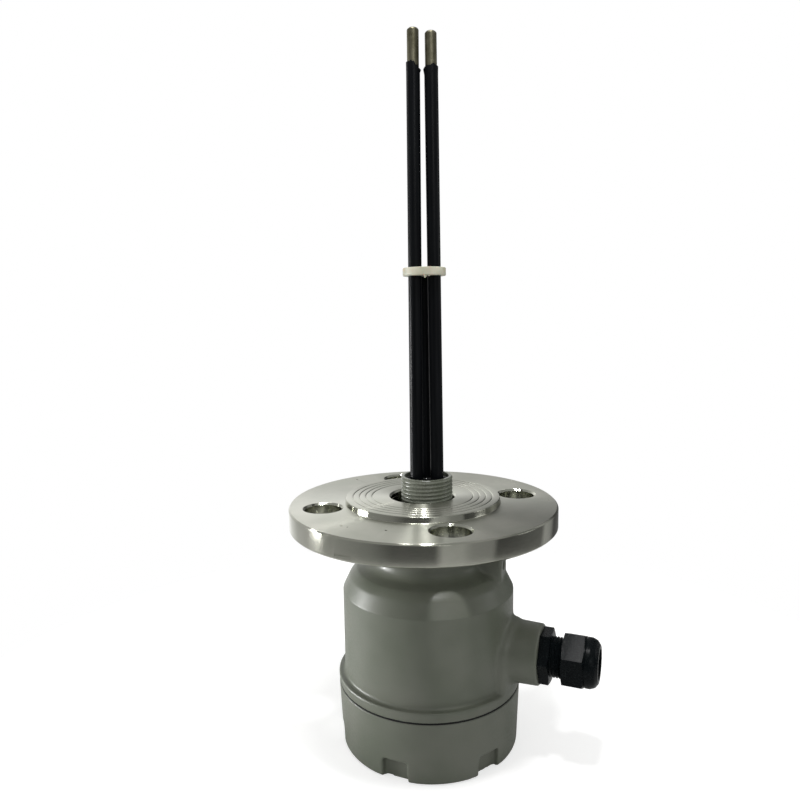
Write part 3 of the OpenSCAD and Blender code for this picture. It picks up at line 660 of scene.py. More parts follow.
def near_a_joint(x, y, z):
    """How much a point of the housing lies where two of the raw forms meet, from 0 to 1."""
    boss = fade(x, 34, 38) * fade(-x, -59.5, -56) * fade(-abs(y), -24, -20)
    boss *= fade(z, 36.6, 38.6) * fade(-z, -77, -73)
    u = x * math.cos(LUG_ANGLE) + y * math.sin(LUG_ANGLE)
    v = y * math.cos(LUG_ANGLE) - x * math.sin(LUG_ANGLE)
    lug = fade(u, 22, 26) * fade(-u, -43, -40.2) * fade(-abs(v), -15, -11.5) * fade(z, 84, 88)
    return max(boss, lug * fade(-z, -111, -107))


# %% Remeshing and smoothing the fillets
def one_skin(raw, voxel, weight, rounds, heights):
    """One skin over overlapping forms: smoothed where the weight says so, else wrapped to the forms.
    It gets a ring of edges at each of the heights, so that an edge of the raw form stays crisp."""
    skin = raw.copy()
    skin.data = raw.data.copy()
    bpy.context.collection.objects.link(skin)
    remesh = skin.modifiers.new("skin", "REMESH")
    remesh.mode, remesh.voxel_size = "VOXEL", voxel * MM
    apply_all(skin)
    bpy.ops.object.mode_set(mode="EDIT")
    for z in heights:
        bpy.ops.mesh.select_all(action="SELECT")
        bpy.ops.mesh.bisect(plane_co=(0, 0, z * MM), plane_no=(0, 0, 1))
    bpy.ops.object.mode_set(mode="OBJECT")
    group = skin.vertex_groups.new(name="fillets")
    for vertex in skin.data.vertices:
        amount = weight(*(vertex.co / MM))
        if amount:
            group.add([vertex.index], amount, "REPLACE")
    wrap = skin.modifiers.new("wrap", "SHRINKWRAP")
    wrap.target, wrap.wrap_method = raw, "NEAREST_SURFACEPOINT"
    wrap.vertex_group, wrap.invert_vertex_group = "fillets", True
    smooth = skin.modifiers.new("smooth", "SMOOTH")
    smooth.vertex_group, smooth.factor, smooth.iterations = "fillets", 0.5, rounds
    apply_all(skin)
    skin.vertex_groups.clear()
    name = raw.name
    bpy.data.objects.remove(raw, do_unlink=True)
    skin.name = skin.data.name = name
    return skin


housing_body = one_skin(raw, 0.7, near_a_joint, 26,
                        (z_collar + 0.4, z_ledge - 0.3, z_crease - 0.15, z_crease, z_crease + 0.15))
print("one skin:", len(housing_body.data.polygons), "faces")


# %% [markdown]
# The inside is cut out last, so that the fillets outside never touch it: the round cavity under its
# dome, the insulator's pocket, the bore for the gland and the hole for the locking screw. The column
# that carries the earth screw is added to the wall again.


# %% Hollowing the housing
# Radii of the cavity and of the bore through the spigot
cavity_r, spigot_bore = 41.0, 11.6


def cavity():
    corners = [(0, z_collar - 2, 0), (cavity_r, z_collar - 2, 0), (cavity_r, dome_z, 0)]
    for k in range(1, 13):
        a = math.radians(90 * k / 12)
        corners.append((dome_r + (cavity_r - dome_r) * math.cos(a),
                        dome_z + (cavity_r - dome_r) * math.sin(a), 0))
    corners += [(20, 91.5, 0.8), (20, 109.9, 0.5), (spigot_bore, 109.9, 0),
                (spigot_bore, z_neck + 2, 0), (0, z_neck + 2, 0)]
    return lathe("cavity", corners, closed=False, steps=160)


def gland_bore():
    return place(bar("bore", 10.0, 25, x_boss + 3, 96), ON_GLAND)


def lock_bore():
    corners = [(0, 15, 0), (2.52, 15, 0), (2.52, 40.3, 0), (3.2, 41, 0), (0, 41, 0)]
    return place(lathe("mouth", corners, False, 48), ON_LUG)


def earth_column():
    column = bar("column", 4.5, 60, 95, 48)
    foot = block("web", (0, -4.5, 60), (7, 4.5, 95))
    column = cut(column, foot, way="UNION", solver="EXACT")
    cut(column, bar("thread_hole", 2.0, 58, 69, 32))
    place(column, around(-100, 36.5))
    limit = lathe("limit", [(0, 50, 0), (43, 50, 0), (43, 80, 0), (34, 93, 0), (0, 93, 0)], False, 96)
    return cut(column, limit, way="INTERSECT")


cut(housing_body, cavity(), gland_bore(), lock_bore())
cut(housing_body, earth_column(), way="UNION")
fit(housing_body, paint, "housing", "housing_paint", "housing")


# %% [markdown]
# The skirt that the cover screws on and the spigot at the top carry threads. They are pieces of
# their own, because a thread needs its faces along the helix and not on a voxel grid.


# %% Threaded skirt and spigot
# Radius over the crests, pitch and height of the ridge of the cover's thread
cover_crest, cover_pitch, cover_ridge = 45.0, 2.0, 0.75


def threaded_ring(name, crest, depth, pitch, inner, z0, z1, chamfer, steps, flat=0.0):
    """A threaded tube: the wound rod, cut to length by a chamfered blank with the bore in it."""
    corners = [(inner, z0, 0), (crest - chamfer, z0, 0), (crest + 0.3, z0 + chamfer + 0.3, 0),
               (crest + 0.3, z1 - chamfer - 0.3, 0), (crest - chamfer, z1, 0.25), (inner, z1, 0.25)]
    ring = lathe(name, corners, steps=steps)
    return cut(ring, threaded("wound", crest, depth, pitch, z0, z1, steps, flat), way="INTERSECT")


skirt = threaded_ring("housing_skirt", crest=cover_crest, depth=cover_ridge, pitch=cover_pitch,
                      inner=cavity_r, z0=z_skirt, z1=z_collar, chamfer=0.9, steps=160)
fit(skirt, paint, "housing", "housing_paint", "housing")
spigot = threaded_ring("housing_spigot", crest=13.5, depth=0.5, pitch=2.0, inner=spigot_bore,
                       z0=z_neck, z1=z_spigot, chamfer=0.5, steps=96, flat=0.3)
fit(spigot, worn_paint, "housing", "housing_paint", "housing")


# %% [markdown]
# ## The cover
#
# The cover is a deep cap with six grip notches round its foot, and the switch stands on it. The
# notches are cut into a solid puck first, and the skin is made as for the housing, with soft edges
# round the notches only. The room and the thread are taken out of it afterwards, because a remesh of
# a thin wall would wrap its inner face to its outer one.


# %% Puck with notches
notch_turn = -31        # direction of the first notch in degrees


def puck():
    corners = [(0, 0, 0), (47.0, 0, 1.6), (48.4, z_rim, 0.5), (0, z_rim, 0)]
    return lathe("cover_shell", corners, closed=False, steps=224)


def notch(turn):
    wedge = block("notch", (43.5, -6.4, -6), (60, 6.4, 10.5), 1.0, 3)
    return place(wedge, turned(turn, "Z"))


def near_a_notch(x, y, z):
    """How much a point of the cover lies at the edge of one of the six notches, from 0 to 1."""
    r = math.hypot(x, y)
    turn = math.degrees(math.atan2(y, x))
    off = abs((turn - notch_turn + 30) % 60 - 30) * math.radians(1) * 45
    return fade(r, 40, 43) * fade(-off, -11, -8.5) * fade(-z, -14, -12) * fade(z, -0.1, 0.5)


raw = cut(puck(), *[notch(notch_turn + 60 * k) for k in range(6)])
cover = one_skin(raw, 0.55, near_a_notch, 10, (z_rim - 0.5, z_rim - 0.28, z_rim - 0.1))
print("the cover's skin:", len(cover.data.polygons), "faces")


# %% [markdown]
# The room is turned out of the puck. The thread is cut by the same rod as the skirt's, 0.1 mm larger,
# so the two run in each other with a little play.


# %% Room and thread of the cover
def cover_room():
    corners = [(0, 3.5, 0), (40.5, 3.5, 1.5), (40.5, 18.5, 0), (44.4, 18.5, 0), (44.4, z_rim - 0.8, 0),
               (45.6, z_rim + 0.4, 0), (45.6, z_rim + 3, 0), (0, z_rim + 3, 0)]
    return lathe("room", corners, closed=False, steps=160)


wound = threaded("wound", cover_crest + 0.1, cover_ridge, cover_pitch, 18.5, z_rim + 2, 160)
cut(wound, lathe("length", [(0, 19.0, 0), (46, 19.0, 0), (46, z_rim + 2, 0), (0, z_rim + 2, 0)], False, 64),
    way="INTERSECT")
cut(cover, cover_room(), wound)
fit(cover, paint, "cover", "housing_paint", "cover")


# %% [markdown]
# ## The flange
#
# A loose flange: a plate with a raised face, four bolt holes with wide chamfers and a few fine
# grooves that grip the gasket. It is the brightest piece, so its edges matter: each has the small
# chamfer that a lathe tool leaves, drawn in the outline. The holes come from cutters that have their
# chamfers on them.


# %% Flange and its bolt holes
# Radii of the plate, the raised face, the bolt circle and a bolt hole
flange_r, raised_r, bolt_circle, bolt_hole_r = 70, 40.1, 52.5, 9.5


def flange_ring():
    z0, z1, z2 = z_flange, z_plate, z_raised
    corners = [(17.6, z0, 0.15), (flange_r - 0.8, z0, 0.15), (flange_r, z0 + 0.8, 0.2),
               (flange_r, z1 - 0.8, 0.2), (flange_r - 0.8, z1, 0.15), (raised_r + 0.65, z1, 0.3),
               (raised_r + 0.3, z2 - 0.35, 0.2), (raised_r, z2, 0.15)]
    for k in (3, 2, 1, 0):
        r = 26.6 + 3.3 * k
        corners += [(r + 0.4, z2, 0.08), (r, z2 - 0.4, 0.15), (r - 0.4, z2, 0.08)]
    corners += [(17.6, z2, 0.15), (16.6, z2 - 1, 0.15), (16.6, z0 + 1, 0.15)]
    return lathe("flange_plate", corners, steps=256, arc_steps=3)


def bolt_hole(turn):
    z0, z1, wide = z_flange, z_plate, bolt_hole_r + 2
    corners = [(0, z0 - 1, 0), (wide, z0 - 1, 0), (bolt_hole_r, z0 + 1, 0.15),
               (bolt_hole_r, z1 - 1, 0.15), (wide, z1 + 1, 0), (0, z1 + 1, 0)]
    return place(lathe("hole", corners, False, 96), around(turn, bolt_circle))


flange = flange_ring()
cut(flange, *[bolt_hole(35 + 90 * k) for k in range(4)])
print("flange with its holes:", len(flange.data.polygons), "faces")


# %% [markdown]
# ### Marks of use
#
# A flange that has been handled has small nicks along its rim and a few on its top face. A bump could
# draw them on the faces, but not on the outline of the rim. So each is cut with a small rounded wedge
# that is laid along the rim, and catches the light like a real one.


# %% Marks of use on the flange
def mark(direction, radius, height, size, tilt=0.0):
    """A small wedge that cuts a nick, laid along the rim. Size: half length, width and depth."""
    long, wide, deep = size
    wedge = block("nick", (-deep, -long, -wide), (deep, long, wide), min(wide, deep) * 0.4, 1)
    return place(wedge, around(direction, radius, height) @ turned(tilt, "X") @ turned(45, "Y"))


# Direction in degrees, radius and height, then the size, and some of them tilted
nicks = [mark(-100, 70.2, 119.8, (4.6, 0.5, 0.5), 3), mark(-103, 70.2, 127.9, (1.8, 0.5, 0.5)),
         mark(-108.5, 70.1, 127.9, (2.2, 0.6, 0.6), 3), mark(-98, 70.25, 128.1, (1.4, 0.5, 0.5)),
         mark(-110.5, 57.5, 128.5, (0.5, 0.5, 0.5)), mark(-107, 57, 128.5, (0.4, 0.4, 0.4)),
         mark(-87.5, 53, 128.5, (0.6, 0.6, 0.6)), mark(150, 62, 128.5, (0.6, 0.5, 0.5)),
         mark(20, 66, 128.5, (0.4, 0.4, 0.4))]
cut(flange, *nicks)
place(flange, Matrix.Translation((FLANGE_AXIS.x, FLANGE_AXIS.y, 0)))
fit(flange, steel, "housing", "flange_steel", "flange", angle=25)


# %% [markdown]
# ## The probe
#
# Two long rods and a short one stand in the resin. Each is turned, with a thread on its lower end for
# the nuts under the insulator, and the longest has a slot for a driver in its tip. All three come from
# one outline and differ only in their length, and the thread is the one that was wound above.


# %% Rods
rod_r = 2.9


def stud(side):
    piece = threaded_ring("stud", crest=2.0, depth=0.25, pitch=0.7, inner=0.01, z0=z_head - 10,
                          z1=z_head + 1, chamfer=0.3, steps=32)
    return place(piece, around(ROD_TURNS[side], rod_circle))


def rod(side, top):
    length = top - z_head
    corners = [(0, 0, 0), (rod_r, 0, 0), (rod_r, length - 0.8, 0.9), (2.2, length, 0.9),
               (0, length, 0)]
    return lathe("electrode_" + side + "_rod", corners, False, 64)


for side, top in (("left", z_left), ("right", z_right), ("short", z_spacer)):
    piece = rod(side, top)
    if side == "left":
        cut(piece, block("slot", (-4, -0.6, top - z_head - 1.2), (4, 0.6, top - z_head + 1)))
    place(piece, on_rod(side))
    join(piece, stud(side))
    fit(piece, rod_steel, "housing", "rod_steel", "electrode_" + side)


# %% [markdown]
# The sleeves were cut by hand, and end in ragged edges. Noise on the edge would make it evenly rough,
# and torn plastic isn't. So the upper edge of each tube is pulled down on one side, and a few points
# of it are pulled out into flaps, as one would do by hand with the points selected.


# %% Sleeves with torn ends
sleeve_r = 3.4


def sleeve(side, top):
    z0, z1, inner = z_pour - 2 - z_head, top - z_head, rod_r + 0.02
    corners = [(inner, z0, 0), (sleeve_r, z0, 0), (sleeve_r, z1 - 4.6, 0), (sleeve_r, z1, 0.15),
               (inner, z1, 0.15), (inner, z1 - 4.6, 0)]
    return lathe("sleeve_" + side + "_tube", corners, steps=72)


def pull(piece, top, turn, width, push):
    """Moves the points of a tube's upper edge that lie within a width of a direction, in degrees."""
    take(piece)
    bpy.ops.object.mode_set(mode="EDIT")
    mesh = bmesh.from_edit_mesh(piece.data)
    for vertex in mesh.verts:
        off = (math.degrees(math.atan2(vertex.co.y, vertex.co.x)) - turn + 180) % 360 - 180
        vertex.select_set(abs(off) < width / 2 and vertex.co.z > (top - z_head - 4.4) * MM)
    bmesh.update_edit_mesh(piece.data)
    bpy.ops.transform.translate(value=Vector(push) * MM)
    bpy.ops.object.mode_set(mode="OBJECT")


# Direction and width of each pull in degrees, then how far it goes outwards and upwards
TEARS = {
    "left": [(20, 200, (0, -0.5)), (25, 150, (0, -0.7)), (28, 110, (0, -0.8)), (20, 70, (0, -0.7)),
             (-45, 28, (0.1, -0.5)), (-75, 40, (0.05, 0.5)), (-140, 60, (0.06, 0.3)),
             (8, 16, (0.55, -0.7)), (160, 50, (0, -0.4))],
    "right": [(-60, 120, (0, -0.3)), (-100, 60, (0, -0.4)), (-165, 80, (0, -0.8)),
              (-150, 18, (0.5, -0.9)), (-20, 20, (0.3, -0.5)), (10, 40, (0.1, -0.7)),
              (-50, 24, (0.05, 0.4)), (120, 70, (0, 0.4))],
    "short": [],
}
SLEEVE_TOPS = {"left": z_left - 16.0, "right": z_right - 15.6, "short": z_spacer}
for side, top in SLEEVE_TOPS.items():
    piece = sleeve(side, top)
    for turn, width, push in TEARS[side]:
        local = turn - ROD_TURNS[side]
        away = Vector((math.cos(math.radians(local)), math.sin(math.radians(local)), 0)) * push[0]
        pull(piece, top, local, width, (away.x, away.y, push[1]))
    place(piece, on_rod(side))
    fit(piece, sleeve_black, "housing", "sleeve_black", "sleeve_" + side)


# %% [markdown]
# The spacer is a small moulded disc with three holes and two stubs of its gate, and the resin climbs
# a little up the wall and up the sleeves, as any liquid that sets in a cup does.


# %% Spacer
def spacer_disc():
    z0, z1 = z_spacer - 4.1, z_spacer
    corners = [(0, z0, 0), (10.95, z0, 0.5), (10.95, z1, 0.4), (0, z1, 0)]
    disc = lathe("spacer_disc", corners, False, 96)
    for turn, deep in ((-67.2, 1.4), (-55, 0.7)):
        nub = lathe("nub", [(0, z0 - deep, 0), (0.4, z0 - deep + 0.2, 0.2), (1.3, z0 + 1, 0),
                            (0, z0 + 1, 0)], False, 24)
        cut(disc, place(nub, around(turn, 9.5)), way="UNION")
    for side in ROD_TURNS:
        cut(disc, place(bar("bore", sleeve_r + 0.01, 0, 300, 64), on_rod(side)))
    return disc


fit(spacer_disc(), ivory, "housing", "spacer_ivory", "spacer")


# %% Resin in the spigot
def resin_pool():
    z1, wall = z_pour, spigot_bore - 0.05
    corners = [(0, z1 - 8, 0), (wall, z1 - 8, 0), (wall, z1 + 0.7, 0), (11.2, z1 + 0.15, 0.5),
               (10, z1, 0.5), (0, z1, 0)]
    return lathe("potting_pool", corners, False, 96)


def resin_climb(side):
    h = z_pour - z_head
    corners = [(0, h - 1, 0), (5.2, h - 1, 0), (5.0, h - 0.02, 0), (4.0, h + 0.12, 0.4),
               (3.5, h + 0.6, 0), (0, h + 0.6, 0)]
    return place(lathe("climb", corners, False, 64), on_rod(side))


pool = resin_pool()
cut(pool, *[resin_climb(side) for side in ROD_TURNS], way="UNION")
foot = z_pour - z_head - 2
for side in ROD_TURNS:
    cut(pool, place(bar("bore", rod_r, foot - 18, foot, 64), on_rod(side)),
        place(bar("bore", sleeve_r, foot, foot + 22, 64), on_rod(side)))
fit(pool, resin, "housing", "potting_black", "potting")


# %% [markdown]
# ## The cable gland
#
# Two black mouldings on one thread. The fixed one has a hexagon against the boss, the thread and the
# ring of fingers that the nut closes on the cable. The nut has its own hexagon and a domed nose. Each
# hexagon has its corners rounded, and a turned blank cuts the corners back at its ends, which gives
# the curved edges that a hexagon nut has.


# %% Hexagons with their corners turned off
def hexagon(name, flats, z0, z1, turn, low, high):
    """A hexagonal bar with rounded corners and turned ends: low and high are how far they go in."""
    corner = flats / 2 / math.cos(math.pi / 6)
    piece = bar(name, corner, z0, z1, 6, turn, 0.7)
    face = flats / 2
    corners = [(0, z0, 0), (face - 0.2 if low else corner + 1, z0, 0), (corner + 1, z0 + low, 0),
               (corner + 1, z1 - high, 0), (face - 0.2 if high else corner + 1, z1, 0), (0, z1, 0)]
    return cut(piece, lathe("blank", corners, False, 96), way="INTERSECT", solver="EXACT")


# %% Gland body
# Radius over the crests, pitch and height of the ridge of its thread, and the hexagons across flats
gland_crest, gland_pitch, gland_ridge, gland_flats = 10.0, 1.5, 0.55, 24.3
# Along the gland: the end of the fixed hexagon, of the thread, of the fingers and of the nut's hexagon
x_hex, x_caught, x_finger, x_facets = x_boss + 5.3, x_nut + 7.0, x_nut + 11.2, x_nut + 10.6


def gland_core():
    corners = [(6.4, x_boss - 10, 0), (9.4, x_boss - 10, 0), (10, x_boss - 9.4, 0), (10, x_boss + 1, 0),
               (9.2, x_boss + 1.2, 0), (9.2, x_caught - 0.4, 0), (9.0, x_caught, 0),
               (9.0, x_finger - 0.8, 0.3), (8.2, x_finger, 0.3), (7.58, x_finger, 0.2),
               (7.58, 70.4, 0), (6.4, 70.4, 0)]
    return lathe("gland_body_fixed", corners, steps=96)


def gland_thread():
    corners = [(8.9, x_hex - 1, 0), (10.3, x_hex - 1, 0), (10.3, x_caught - 1.1, 0),
               (9.3, x_caught - 0.1, 0), (8.9, x_caught - 0.1, 0)]
    ring = lathe("ring", corners, steps=96)
    wound = threaded("wound", gland_crest, gland_ridge, gland_pitch, x_hex - 1, x_caught, 96)
    return cut(ring, wound, way="INTERSECT")


body = gland_core()
cut(body, gland_thread(), way="UNION")
cut(body, *[place(block("slit", (6.6, -0.5, x_caught), (12, 0.5, x_finger + 1)), turned(45 * k, "Z"))
            for k in range(8)])
ring = hexagon("hex", gland_flats, x_boss, x_hex, 25.5, 0, 0.9)
recess = [(9, x_boss - 1, 0), (11.4, x_boss - 1, 0), (11.4, x_boss + 1.3, 0), (9, x_boss + 1.3, 0)]
cut(ring, bar("hole", 9.6, x_boss - 1, x_hex + 1, 96), lathe("recess", recess, True, 96))
cut(body, ring, way="UNION")
place(body, ON_GLAND)
fit(body, gland_black, "housing", "gland_black", "gland_body", angle=30)


# %% [markdown]
# The nut is a hexagon and a turned nose in one. Its bore follows the fingers, and its thread is cut by
# the gland's own rod, 0.08 mm larger.


# %% Gland nut
def nut_nose():
    corners = [(0, x_facets - 1, 0), (11.9, x_facets - 1, 0), (11.9, x_facets + 0.4, 0.3),
               (12.15, x_facets + 0.9, 0.4),
               (12.15, x_mouth - 3.9, 2.5), (11.2, x_mouth - 1.5, 2.0), (9.1, x_mouth, 1.0),
               (0, x_mouth, 0)]
    return lathe("nose", corners, False, 128)


def nut_bore():
    corners = [(0, x_nut - 1, 0), (10.4, x_nut - 1, 0), (10.4, x_nut, 0), (9.6, x_nut + 0.8, 0),
               (9.6, x_caught + 2.25, 0), (9.6, x_finger + 2.55, 0), (7.4, x_mouth - 1.2, 0),
               (7.4, x_mouth - 0.3, 0), (7.7, x_mouth + 0.1, 0), (7.7, x_mouth + 1, 0),
               (0, x_mouth + 1, 0)]
    return lathe("bore", corners, False, 96)


nut = hexagon("gland_nut_cap", gland_flats, x_nut, x_facets, 5.5, 0.9, 0.5)
cut(nut, nut_nose(), way="UNION")
cut(nut, nut_bore())
wound = threaded("wound", gland_crest + 0.08, gland_ridge, gland_pitch, x_nut - 1, x_caught + 2, 96)
cut(wound, bar("length", 12, x_nut - 1, x_caught + 2.2, 64), way="INTERSECT")
cut(nut, wound)
place(nut, ON_GLAND)
fit(nut, gland_black, "gland_nut", "gland_black", "gland_nut", angle=30)


# %% [markdown]
# ## Finishes of the inner pieces
#
# They hardly show, so two kinds of finish do for nearly all of them: metals get a brushed one and
# plastics a moulded one, each with its own tint. Their names are the record's material slots.


# %% Brushed and moulded finishes
def brushed(name, tint, roughness=0.32):
    metal = finish(name, tint, roughness, 1.0)
    spread(metal, grain(metal, 1200, 3), roughness - 0.05, roughness + 0.07)
    light = tuple(min(255, v * 1.03) for v in tint)
    drift(metal, grain(metal, 250, 3), [tint, light], [0.35, 0.65])
    relief(metal, grain(metal, 1800, 2), 0.01, 0.4)
    return metal


def moulded(name, tint, roughness=0.42):
    plastic = finish(name, tint, roughness)
    dark = tuple(v * 0.96 for v in tint)
    drift(plastic, grain(plastic, 180, 3), [dark, tint], [0.35, 0.65])
    spread(plastic, grain(plastic, 1000, 2), roughness - 0.06, roughness + 0.08)
    relief(plastic, grain(plastic, 1400, 2), 0.012, 0.4)
    return plastic


# Kind of finish, colour on screen, and the roughness where it isn't the usual one
FINISHES = {
    "ptfe_white": (moulded, (226, 225, 218), 0.4), "zinc_steel": (brushed, (190, 192, 188)),
    "tinned_copper": (brushed, (196, 182, 150)), "brass_nickel": (brushed, (196, 172, 108), 0.28),
    "wire_red": (moulded, (160, 44, 34)), "wire_blue": (moulded, (40, 74, 150)),
    "wire_yellow": (moulded, (212, 188, 52)), "board_green": (moulded, (38, 104, 62), 0.3),
    "terminal_green": (moulded, (52, 128, 76)), "relay_black": (moulded, (32, 34, 38), 0.35),
    "transformer_blue": (moulded, (40, 72, 128)), "capacitor_blue": (moulded, (34, 48, 84), 0.25),
    "chip_black": (moulded, (26, 26, 28), 0.5), "trimmer_blue": (moulded, (40, 92, 170), 0.3),
    "rotor_white": (moulded, (224, 224, 218), 0.4), "black_screw": (brushed, (62, 62, 62), 0.4),
}
slots = {name: kind(name, *values) for name, (kind, *values) in FINISHES.items()}
slots["gasket_fibre"] = rubber("gasket_fibre", (66, 84, 70), 700)
slots.update(seal_rubber=seal_rubber, gland_black=gland_black)


# %% [markdown]
# ## Parts on the control board
#
# The parts hang from the board's lower face. Each is built inside the box of its solid. Their cases
# are moulded, so their edges are soft, and seams, vents and dimples are cut in, because a cut can't
# reach outside the box. The solder joints show on the board's upper face.


# %% Blocks that fill a solid's box
def corners_of(node, inset=(0, 0, 0)):
    """The two corners of a node's box in millimetres, moved inwards by an inset on each axis."""
    low, high = ([reach(node, side, axis) for axis in range(3)] for side in (0, 1))
    return ([v + d for v, d in zip(low, inset)], [v - d for v, d in zip(high, inset)])


# %% Relay and transformer
def relay_case():
    low, high = corners_of("relay")
    base = block("relay_case", (low[0], low[1], high[2] - 2.2), high, 0.25)
    case = block("case", (low[0] + 0.3, low[1] + 0.3, low[2]),
                 (high[0] - 0.3, high[1] - 0.3, high[2] - 2), 0.9, 3)
    vent = bar("vent", 0.7, low[2] - 1, low[2] + 0.5, 24)
    bpy.ops.transform.translate(value=((high[0] - 2.2) * MM, (high[1] - 2.6) * MM, 0))
    cut(case, vent)
    return join(base, case)


def transformer_case():
    low, high = corners_of("transformer")
    case = block("transformer_case", low, high, 1.1, 3)
    middle = [(a + b) / 2 for a, b in zip(low, high)]
    ribs = []
    for k in range(7):
        y = middle[1] + (k - 3) * 3.6
        for x in (low[0], high[0]):
            ribs.append(block("rib", (x - 0.35, y - 0.5, low[2] + 2.5),
                              (x + 0.35, y + 0.5, high[2] - 2.5), 0.12, 1))
    ribs.append(block("rim", (low[0] + 2, low[1] + 2, low[2] - 1),
                      (high[0] - 2, high[1] - 2, low[2] + 0.5), 0.2, 1))
    return cut(case, *ribs)


fit(relay_case(), slots["relay_black"], "housing", "relay_black", "relay")
fit(transformer_case(), slots["transformer_blue"], "housing", "transformer_blue", "transformer")


# %% Capacitor and chip
def capacitor_can():
    low, high = corners_of("capacitor")
    r, bottom, top = (high[0] - low[0]) / 2, low[2], high[2]
    can = lathe("capacitor_can", [
        (0, top, 0), (r - 0.3, top, 0.2), (r, top - 0.4, 0.3), (r, top - 1.4, 0.3), (r - 0.5, top - 2, 0.4),
        (r, top - 2.6, 0.3), (r, bottom, 0.7), (r - 0.9, bottom, 0.15), (r - 1, bottom + 0.3, 0.1),
        (0, bottom + 0.3, 0)], closed=False, steps=64, arc_steps=3)
    score = [block("score", (-2.2, -0.12, bottom), (2.2, 0.12, bottom + 0.45)) for _ in range(2)]
    place(score[1], turned(90, "Z"))
    cut(can, *score)
    return place(can, Matrix.Translation(((low[0] + r) * MM, (low[1] + r) * MM, 0)))


def chip_body():
    low, high = corners_of("amplifier_chip", (0, 0.55, 0))
    body = block("chip_body", low, (high[0], high[1], high[2] - 0.5), 0.2)
    notch = bar("notch", 0.8, low[2] - 1, low[2] + 0.4, 24)
    bpy.ops.transform.translate(value=(low[0] * MM, (low[1] + high[1]) / 2 * MM, 0))
    return cut(body, notch)


def chip_legs():
    low, high = corners_of("amplifier_chip")
    legs = []
    for k in range(4):
        x = (low[0] + high[0]) / 2 + (k - 1.5) * 2.2
        for y0, y1, out in ((low[1], low[1] + 0.7, low[1]), (high[1] - 0.7, high[1], high[1] - 0.25)):
            z = (low[2] + high[2]) / 2
            legs.append(block("leg", (x - 0.45, y0, z - 0.13), (x + 0.45, y1, z + 0.13), 0.05, 1))
            legs.append(block("leg", (x - 0.25, out, z - 0.1), (x + 0.25, out + 0.25, high[2]), 0.05, 1))
    legs[0].name = legs[0].data.name = "chip_legs"
    return join(*legs)


fit(capacitor_can(), slots["capacitor_blue"], "housing", "capacitor_blue", "capacitor")
fit(chip_body(), slots["chip_black"], "housing", "chip_black", "amplifier_chip")
fit(chip_legs(), slots["zinc_steel"], "housing", "zinc_steel", "amplifier_chip")


# %% [markdown]
# Each leg of a part ends in a small cone of solder on the far side of the board. The cone is turned
# like the larger pieces, with few faces, because there are dozens of them.


# %% Solder joints
def joints_of(node, rows, per_row, margin):
    """Spots on the board over a part: rows along X, evenly spread along Y."""
    low, high = corners_of(node, (margin, margin, 0))
    spots = []
    for i in range(rows):
        for k in range(per_row):
            across = i / (rows - 1) if rows > 1 else 0.5
            along = k / (per_row - 1) if per_row > 1 else 0.5
            spots.append((low[0] + across * (high[0] - low[0]), low[1] + along * (high[1] - low[1])))
    return spots


# Part, rows, joints in a row, and how far the outer ones lie inside the part's box
pins = [("terminal_block", 1, 5, 2.5), ("relay", 2, 3, 2), ("capacitor", 2, 1, 2),
        ("transformer", 2, 4, 2.2), ("amplifier_chip", 4, 2, 1), ("trimmer", 2, 2, 1.4)]
cone = [(0, 0, 0), (0.95, 0, 0), (0.5, 0.2, 0.2), (0.35, 0.75, 0.15), (0, 0.85, 0)]
z_joint = reach("control_board", 1, 2)
solder = []
for node, rows, per_row, margin in pins:
    for x, y in joints_of(node, rows, per_row, margin):
        drop = lathe("solder_joints", cone, closed=False, steps=12, arc_steps=2)
        solder.append(place(drop, Matrix.Translation((x * MM, y * MM, z_joint * MM))))
solder[0].name = solder[0].data.name = "solder_joints"
fit(join(*solder), slots["zinc_steel"], "housing", "zinc_steel")


# %% [markdown]
# ## What stays as it came
#
# The other pieces, nearly all of them inside, have the right shapes already. They could be drawn once
# more, but nothing would be gained, so they keep their CAD meshes. They get their materials here, by
# the record's slots, and a fine bevel, because no moulded or turned edge is sharp.


# %% Dressing the CAD nodes that stay
kept = {
    "seal_rubber": ["cover_seal", "gland_seal"], "gasket_fibre": ["flange_gasket"],
    "ptfe_white": ["insulator"], "gland_black": ["gland_ring"],
    "zinc_steel": ["electrode_washers", "electrode_nuts", "board_screws", "terminal_screws",
                   "earth_washer"],
    "tinned_copper": ["ring_lugs"], "wire_red": ["lead_left"], "wire_blue": ["lead_right"],
    "wire_yellow": ["lead_short"], "board_green": ["control_board"],
    "brass_nickel": ["board_pillars", "earth_screw"], "terminal_green": ["terminal_block"],
    "trimmer_blue": ["trimmer"], "rotor_white": ["trimmer_rotor"], "black_screw": ["locking_screw"],
}
for slot, names in kept.items():
    for name in names:
        for place_of in nodes[name].material_slots:
            place_of.material = slots[slot]
        edge = nodes[name].modifiers.new("edge", "BEVEL")
        edge.width, edge.segments = 0.12 * MM, 2
        edge.limit_method, edge.angle_limit = "ANGLE", math.radians(50)
print("CAD nodes that stay:", sum(not node.hide_render for node in nodes.values()), "of", len(nodes))


# %% [markdown]
# ## Floor, light and camera
#
# The photograph was taken on white, so the floor lifts itself to white for the camera only and still
# takes the shadow. It is clear from below, and to the light that passes right under the part, so the
# cover's underside isn't black. The cover comes off downwards, so the floor rides on it.

# %% Floor
FLOOR_GAP, FLOOR_LIFT = 0.0003, 0.62


